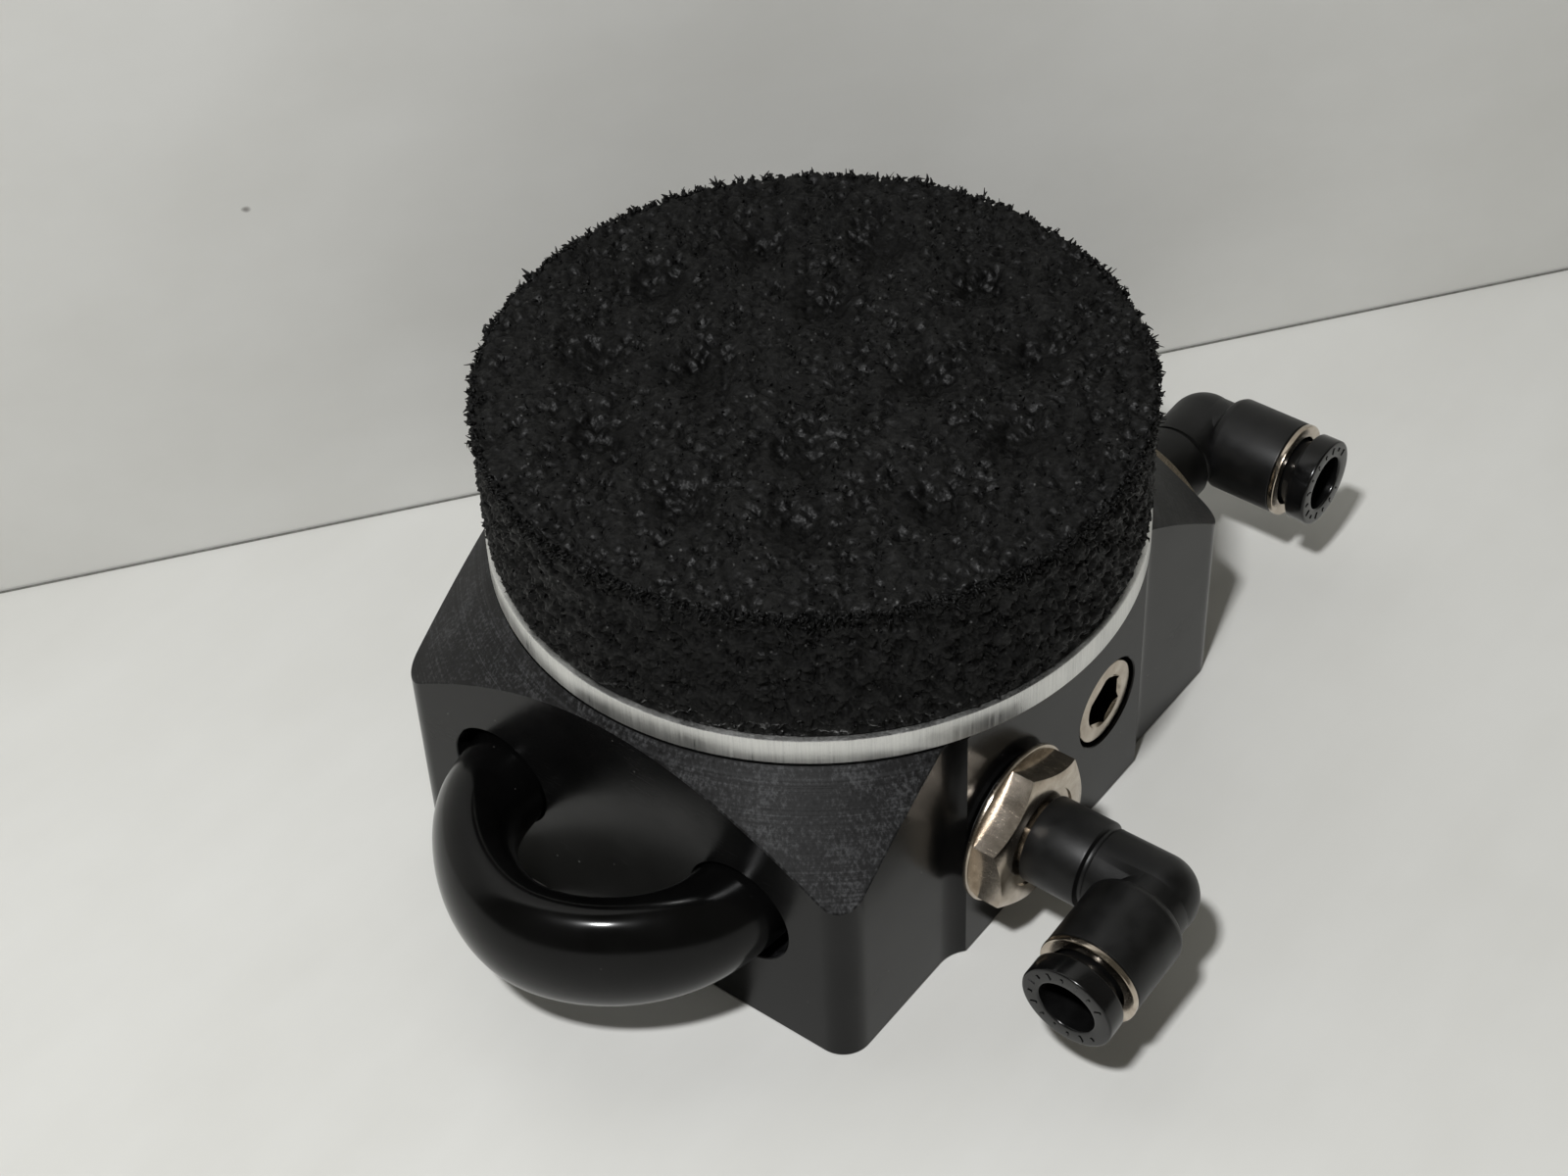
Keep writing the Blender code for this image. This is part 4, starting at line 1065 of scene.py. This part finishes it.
def stem_nut(port):
    """Hexagon of the stem, with its outer corners turned off and a shallow recess round the elbow's foot."""
    corner = NUT_ACROSS_FLATS / sqrt(3)
    flat = NUT_ACROSS_FLATS / 2
    hexagon = bmesh.new()
    turn = Matrix.Rotation(radians(NUT_TURN), 4, "Z")
    add_prism(hexagon, circle(corner, 6), NUT_LOW, NUT_FACE, port @ turn)
    nut = make_object("nut", hexagon)
    limit = [
        (0, 0),
        (corner, 0),
        (corner + 0.02 * MM, NUT_FACE - (corner - flat) * 0.62),
        (flat - 0.1 * MM, NUT_FACE),
        (0, NUT_FACE),
    ]
    combine(nut, turned(limit, 144, port), "INTERSECT")
    bore = bmesh.new()
    add_rod(bore, SWIVEL_GROOVE[0], -5 * MM, 12 * MM, ROUND, port)
    combine(nut, bore, "DIFFERENCE")
    low, high = NUT_FACE - 0.25 * MM, 9 * MM
    recess = [(4.4 * MM, low), (7.0 * MM, low), (7.2 * MM, high), (4.4 * MM, high)]
    combine(nut, turned(recess, ROUND, port), "DIFFERENCE")
    return nut


def make_stem(name, port):
    groove_radius, groove_low, groove_high = SWIVEL_GROOVE
    outline = [
        (STEM_BORE, STEM_LOW),
        (STEM_THREAD_RADIUS, STEM_LOW),
        (STEM_THREAD_RADIUS, FLANGE_LOW),
        (FLANGE_RADIUS, FLANGE_LOW),
        (FLANGE_RADIUS, FLANGE_HIGH),
        (STEM_NECK_RADIUS, FLANGE_HIGH),
        (STEM_NECK_RADIUS, groove_low),
        (groove_radius, groove_low),
        (groove_radius, groove_high),
        (STEM_NECK_RADIUS, groove_high),
        (STEM_NECK_RADIUS, STEM_HIGH),
        (STEM_BORE, STEM_HIGH),
    ]
    stem = make_object(f"{name}_stem_detail", turned(softened(outline, 0.25 * MM, 2), ROUND, port))
    nut = stem_nut(port)
    shape = bmesh.new()
    shape.from_mesh(nut.data)
    combine(stem, shape, "UNION")
    bpy.data.objects.remove(nut, do_unlink=True)
    edges = stem.modifiers.new("edges", "BEVEL")
    edges.width = 0.10 * MM
    edges.segments = 2
    edges.limit_method = "ANGLE"
    edges.angle_limit = radians(38)
    apply_modifiers(stem)
    finish_piece(stem, NICKEL, "gripper", "nickel", f"{name}_stem")


def elbow_leg(place):
    """Sleeve over the stem, a groove, and the slimmer leg up to the corner's dome."""
    low = NUT_FACE + 0.35 * MM
    groove = CORNER_LEG_RADIUS - 0.40 * MM
    outline = [
        (0, low),
        (LEG_RADIUS, low),
        (LEG_RADIUS, 14.4 * MM),
        (groove, 14.65 * MM),
        (groove, 15.3 * MM),
        (CORNER_LEG_RADIUS, 15.5 * MM),
    ]
    outline = softened(outline, 0.25 * MM, 2)
    outline += arc((0, ELBOW_HEIGHT), CORNER_LEG_RADIUS, 0, 90, 20)[:-1]
    outline.append((0, ELBOW_HEIGHT + CORNER_LEG_RADIUS))
    return turned(outline, ROUND, place)


def elbow_barrel(place):
    """The outlet: a slim neck out of the corner, a cone, and the straight barrel."""
    neck = CORNER_LEG_RADIUS - 0.1 * MM
    outline = [
        (0, 1.0 * MM),
        (neck, 1.0 * MM),
        (neck, 3.5 * MM),
        (BARREL_RADIUS - 0.5 * MM, 4.0 * MM),
        (BARREL_RADIUS, 4.9 * MM),
        (BARREL_RADIUS, BARREL_END),
        (0, BARREL_END),
    ]
    return turned(softened(outline, 0.30 * MM, 3), ROUND, place)


def make_elbow(name, elbow_frame, mouth):
    elbow = make_object(f"{name}_elbow_detail", elbow_leg(elbow_frame))
    combine(elbow, elbow_barrel(mouth), "UNION")
    stem_hole = STEM_NECK_RADIUS + 0.5 * MM
    stem_stop = STEM_HIGH + 0.5 * MM
    passage = STEM_BORE + 0.3 * MM
    stem_bore = [
        (0, 0),
        (stem_hole, 0),
        (stem_hole, stem_stop),
        (passage, stem_stop),
        (passage, ELBOW_HEIGHT + 1.5 * MM),
        (0, ELBOW_HEIGHT + 1.5 * MM),
    ]
    combine(elbow, turned(stem_bore, ROUND, elbow_frame), "DIFFERENCE")
    air_bore = 2.8 * MM
    tube_stop = 3.0 * MM
    tube_bore = [
        (0, 0),
        (air_bore, 0),
        (air_bore, tube_stop),
        (TUBE_HOLE_RADIUS, tube_stop),
        (TUBE_HOLE_RADIUS, SOCKET_FLOOR),
        (SOCKET_RADIUS, SOCKET_FLOOR),
        (SOCKET_RADIUS, BARREL_END + 2 * MM),
        (0, BARREL_END + 2 * MM),
    ]
    combine(elbow, turned(tube_bore, ROUND, mouth), "DIFFERENCE")
    finish_piece(elbow, moulded_plastic(), f"{name}_elbow_body", "matte_plastic", f"{name}_elbow")


def make_collet(name, mouth):
    """Plated ring in the mouth of the barrel, with a rim that lies on the barrel's end."""
    bore = 5.3 * MM
    inside_socket = SOCKET_RADIUS - 0.3 * MM
    rim = BARREL_RADIUS + 0.05 * MM
    low = 9.0 * MM
    rim_low = BARREL_END + 0.1 * MM
    rim_high = BARREL_END + 1.0 * MM
    outline = [
        (bore, low),
        (inside_socket, low),
        (inside_socket, rim_low),
        (rim, rim_low),
        (rim, rim_high),
        (bore, rim_high),
    ]
    collet = make_object(f"{name}_collet_detail", turned(softened(outline, 0.28 * MM), ROUND, mouth))
    finish_piece(collet, NICKEL, f"{name}_elbow_body", "nickel", f"{name}_collet_ring")


def make_button(name, mouth):
    """Release ring, with small plain raised dashes round its face."""
    low = 10.6 * MM
    outline = [
        (TUBE_HOLE_RADIUS, low),
        (BUTTON_NECK, low),
        (BUTTON_NECK, 17.3 * MM),
        (BUTTON_RIM, 17.5 * MM),
        (BUTTON_RIM, OUTLET_FACE),
        (TUBE_HOLE_RADIUS, OUTLET_FACE),
    ]
    shape = turned(softened(outline, 0.35 * MM, 4), ROUND, mouth)
    middle = (TUBE_HOLE_RADIUS + BUTTON_RIM) / 2
    for step in range(14):
        angle = radians(-150 + 22 * step)
        dash = Matrix.Rotation(angle, 4, "Z") @ at(middle, 0)
        half_long = (0.30 if step % 2 else 0.50) * MM
        corners = four_places(-half_long, -0.16 * MM)
        add_prism(shape, corners, OUTLET_FACE - 0.2 * MM, OUTLET_FACE + 0.12 * MM, mouth @ dash)
    button = make_object(f"{name}_button_detail", shape)
    finish_piece(button, GLOSSY, f"{name}_button_body", "gloss_plastic", f"{name}_release_button")


def make_fitting(name):
    port, elbow_frame, mouth = fitting_frames(name)
    make_stem(name, port)
    make_elbow(name, elbow_frame, mouth)
    make_collet(name, mouth)
    make_button(name, mouth)


def dress_inner_pieces():
    """The pieces inside keep their CAD shapes and get machined or rubber surfaces."""
    brass = machined("machined_brass", (0.50, 0.34, 0.13), (0.78, 0.58, 0.28), 0.30)
    steel = machined("machined_steel", (0.36, 0.36, 0.37), (0.62, 0.62, 0.63), 0.32)
    bronze = machined("sintered_bronze", (0.28, 0.19, 0.10), (0.52, 0.37, 0.21), 0.55)
    rubber = seal_rubber()
    by_slot = {"brass": brass, "steel": steel, "sintered_bronze": bronze, "black_rubber": rubber}
    for entry in frame["record"]["subparts"]:
        surface = by_slot.get(entry["material_slot"])
        if surface:
            mesh = frame["nodes"][entry["node"]].data
            mesh.materials.clear()
            mesh.materials.append(surface)


# ---------------------------------------------------------------- stage, lights and camera


def plain_sheet(name, corners, surface):
    mesh = bpy.data.meshes.new(name)
    mesh.from_pydata(corners, [], [tuple(range(len(corners)))])
    item = bpy.data.objects.new(name, mesh)
    bpy.context.scene.collection.objects.link(item)
    mesh.materials.append(surface)


def make_stage():
    """Pale floor and backdrop, and a thin dark strip of painted shade along the line where they meet."""
    board = painted_board()
    far = STAGE_REACH
    plain_sheet("floor", [(-far, -far, 0), (far, -far, 0), (far, far, 0), (-far, far, 0)], board)
    along = Vector((cos(radians(BACKDROP_ANGLE)), sin(radians(BACKDROP_ANGLE)), 0))
    foot = Vector((-along.y, along.x, 0)) * BACKDROP_DISTANCE
    left, right = foot - along * far, foot + along * far
    up = Vector((0, 0, far))
    plain_sheet("backdrop", [left, right, right + up, left + up], board)
    # Painted shade: a thin dark strip stands in for the shadow in the join of floor and backdrop
    gap = Vector((along.y, -along.x, 0)) * 0.2 * MM
    seam_top = Vector((0, 0, 0.45 * MM))
    painted_seam_shadow = [left + gap, right + gap, right + gap + seam_top, left + gap + seam_top]
    plain_sheet("painted_seam_shadow", painted_seam_shadow, machined("painted_seam_shade", (0.26, 0.26, 0.24), (0.42, 0.42, 0.40), 0.8))


def make_lights():
    """One small hard lamp over the camera, and a weak warm light from all round."""
    world = bpy.data.worlds.new("studio")
    world.use_nodes = True
    background = world.node_tree.nodes["Background"]
    background.inputs["Color"].default_value = AMBIENT_COLOUR
    background.inputs["Strength"].default_value = AMBIENT_STRENGTH
    bpy.context.scene.world = world
    bpy.context.scene.view_settings.view_transform = "Standard"
    lamp = bpy.data.lights.new("key", "AREA")
    lamp.shape = "RECTANGLE"
    lamp.size, lamp.size_y = KEY_SIZE
    lamp.energy = KEY_POWER
    lamp.color = KEY_COLOUR
    item = bpy.data.objects.new("key", lamp)
    item.location = KEY_PLACE
    aim = Vector((0, 0, 0.02))
    item.rotation_euler = (aim - Vector(KEY_PLACE)).to_track_quat("-Z", "Y").to_euler()
    bpy.context.scene.collection.objects.link(item)


def make_camera():
    azimuth = radians(CAMERA_AZIMUTH)
    elevation = radians(CAMERA_ELEVATION)
    forward = Vector((-cos(elevation) * sin(azimuth), cos(elevation) * cos(azimuth), -sin(elevation)))
    camera = bpy.data.cameras.new("camera")
    camera.sensor_width = 36.0
    camera.lens = CAMERA_LENS
    camera.shift_x, camera.shift_y = CAMERA_SHIFT
    camera.clip_start = 0.01
    item = bpy.data.objects.new("camera", camera)
    turn = forward.to_track_quat("-Z", "Y").to_matrix() @ Matrix.Rotation(radians(CAMERA_ROLL), 3, "Z")
    item.matrix_world = Matrix.Translation(CAMERA_PLACE) @ turn.to_4x4()
    bpy.context.scene.collection.objects.link(item)
    bpy.context.scene.camera = item


MILLED = milled_anodised()
NICKEL = nickel()
GLOSSY = glossy_plastic()
make_camera()
make_lights()
make_stage()
make_block()
make_plate()
make_sponge()
make_hose()
make_plug()
make_fitting("vacuum")
make_fitting("supply")
dress_inner_pieces()
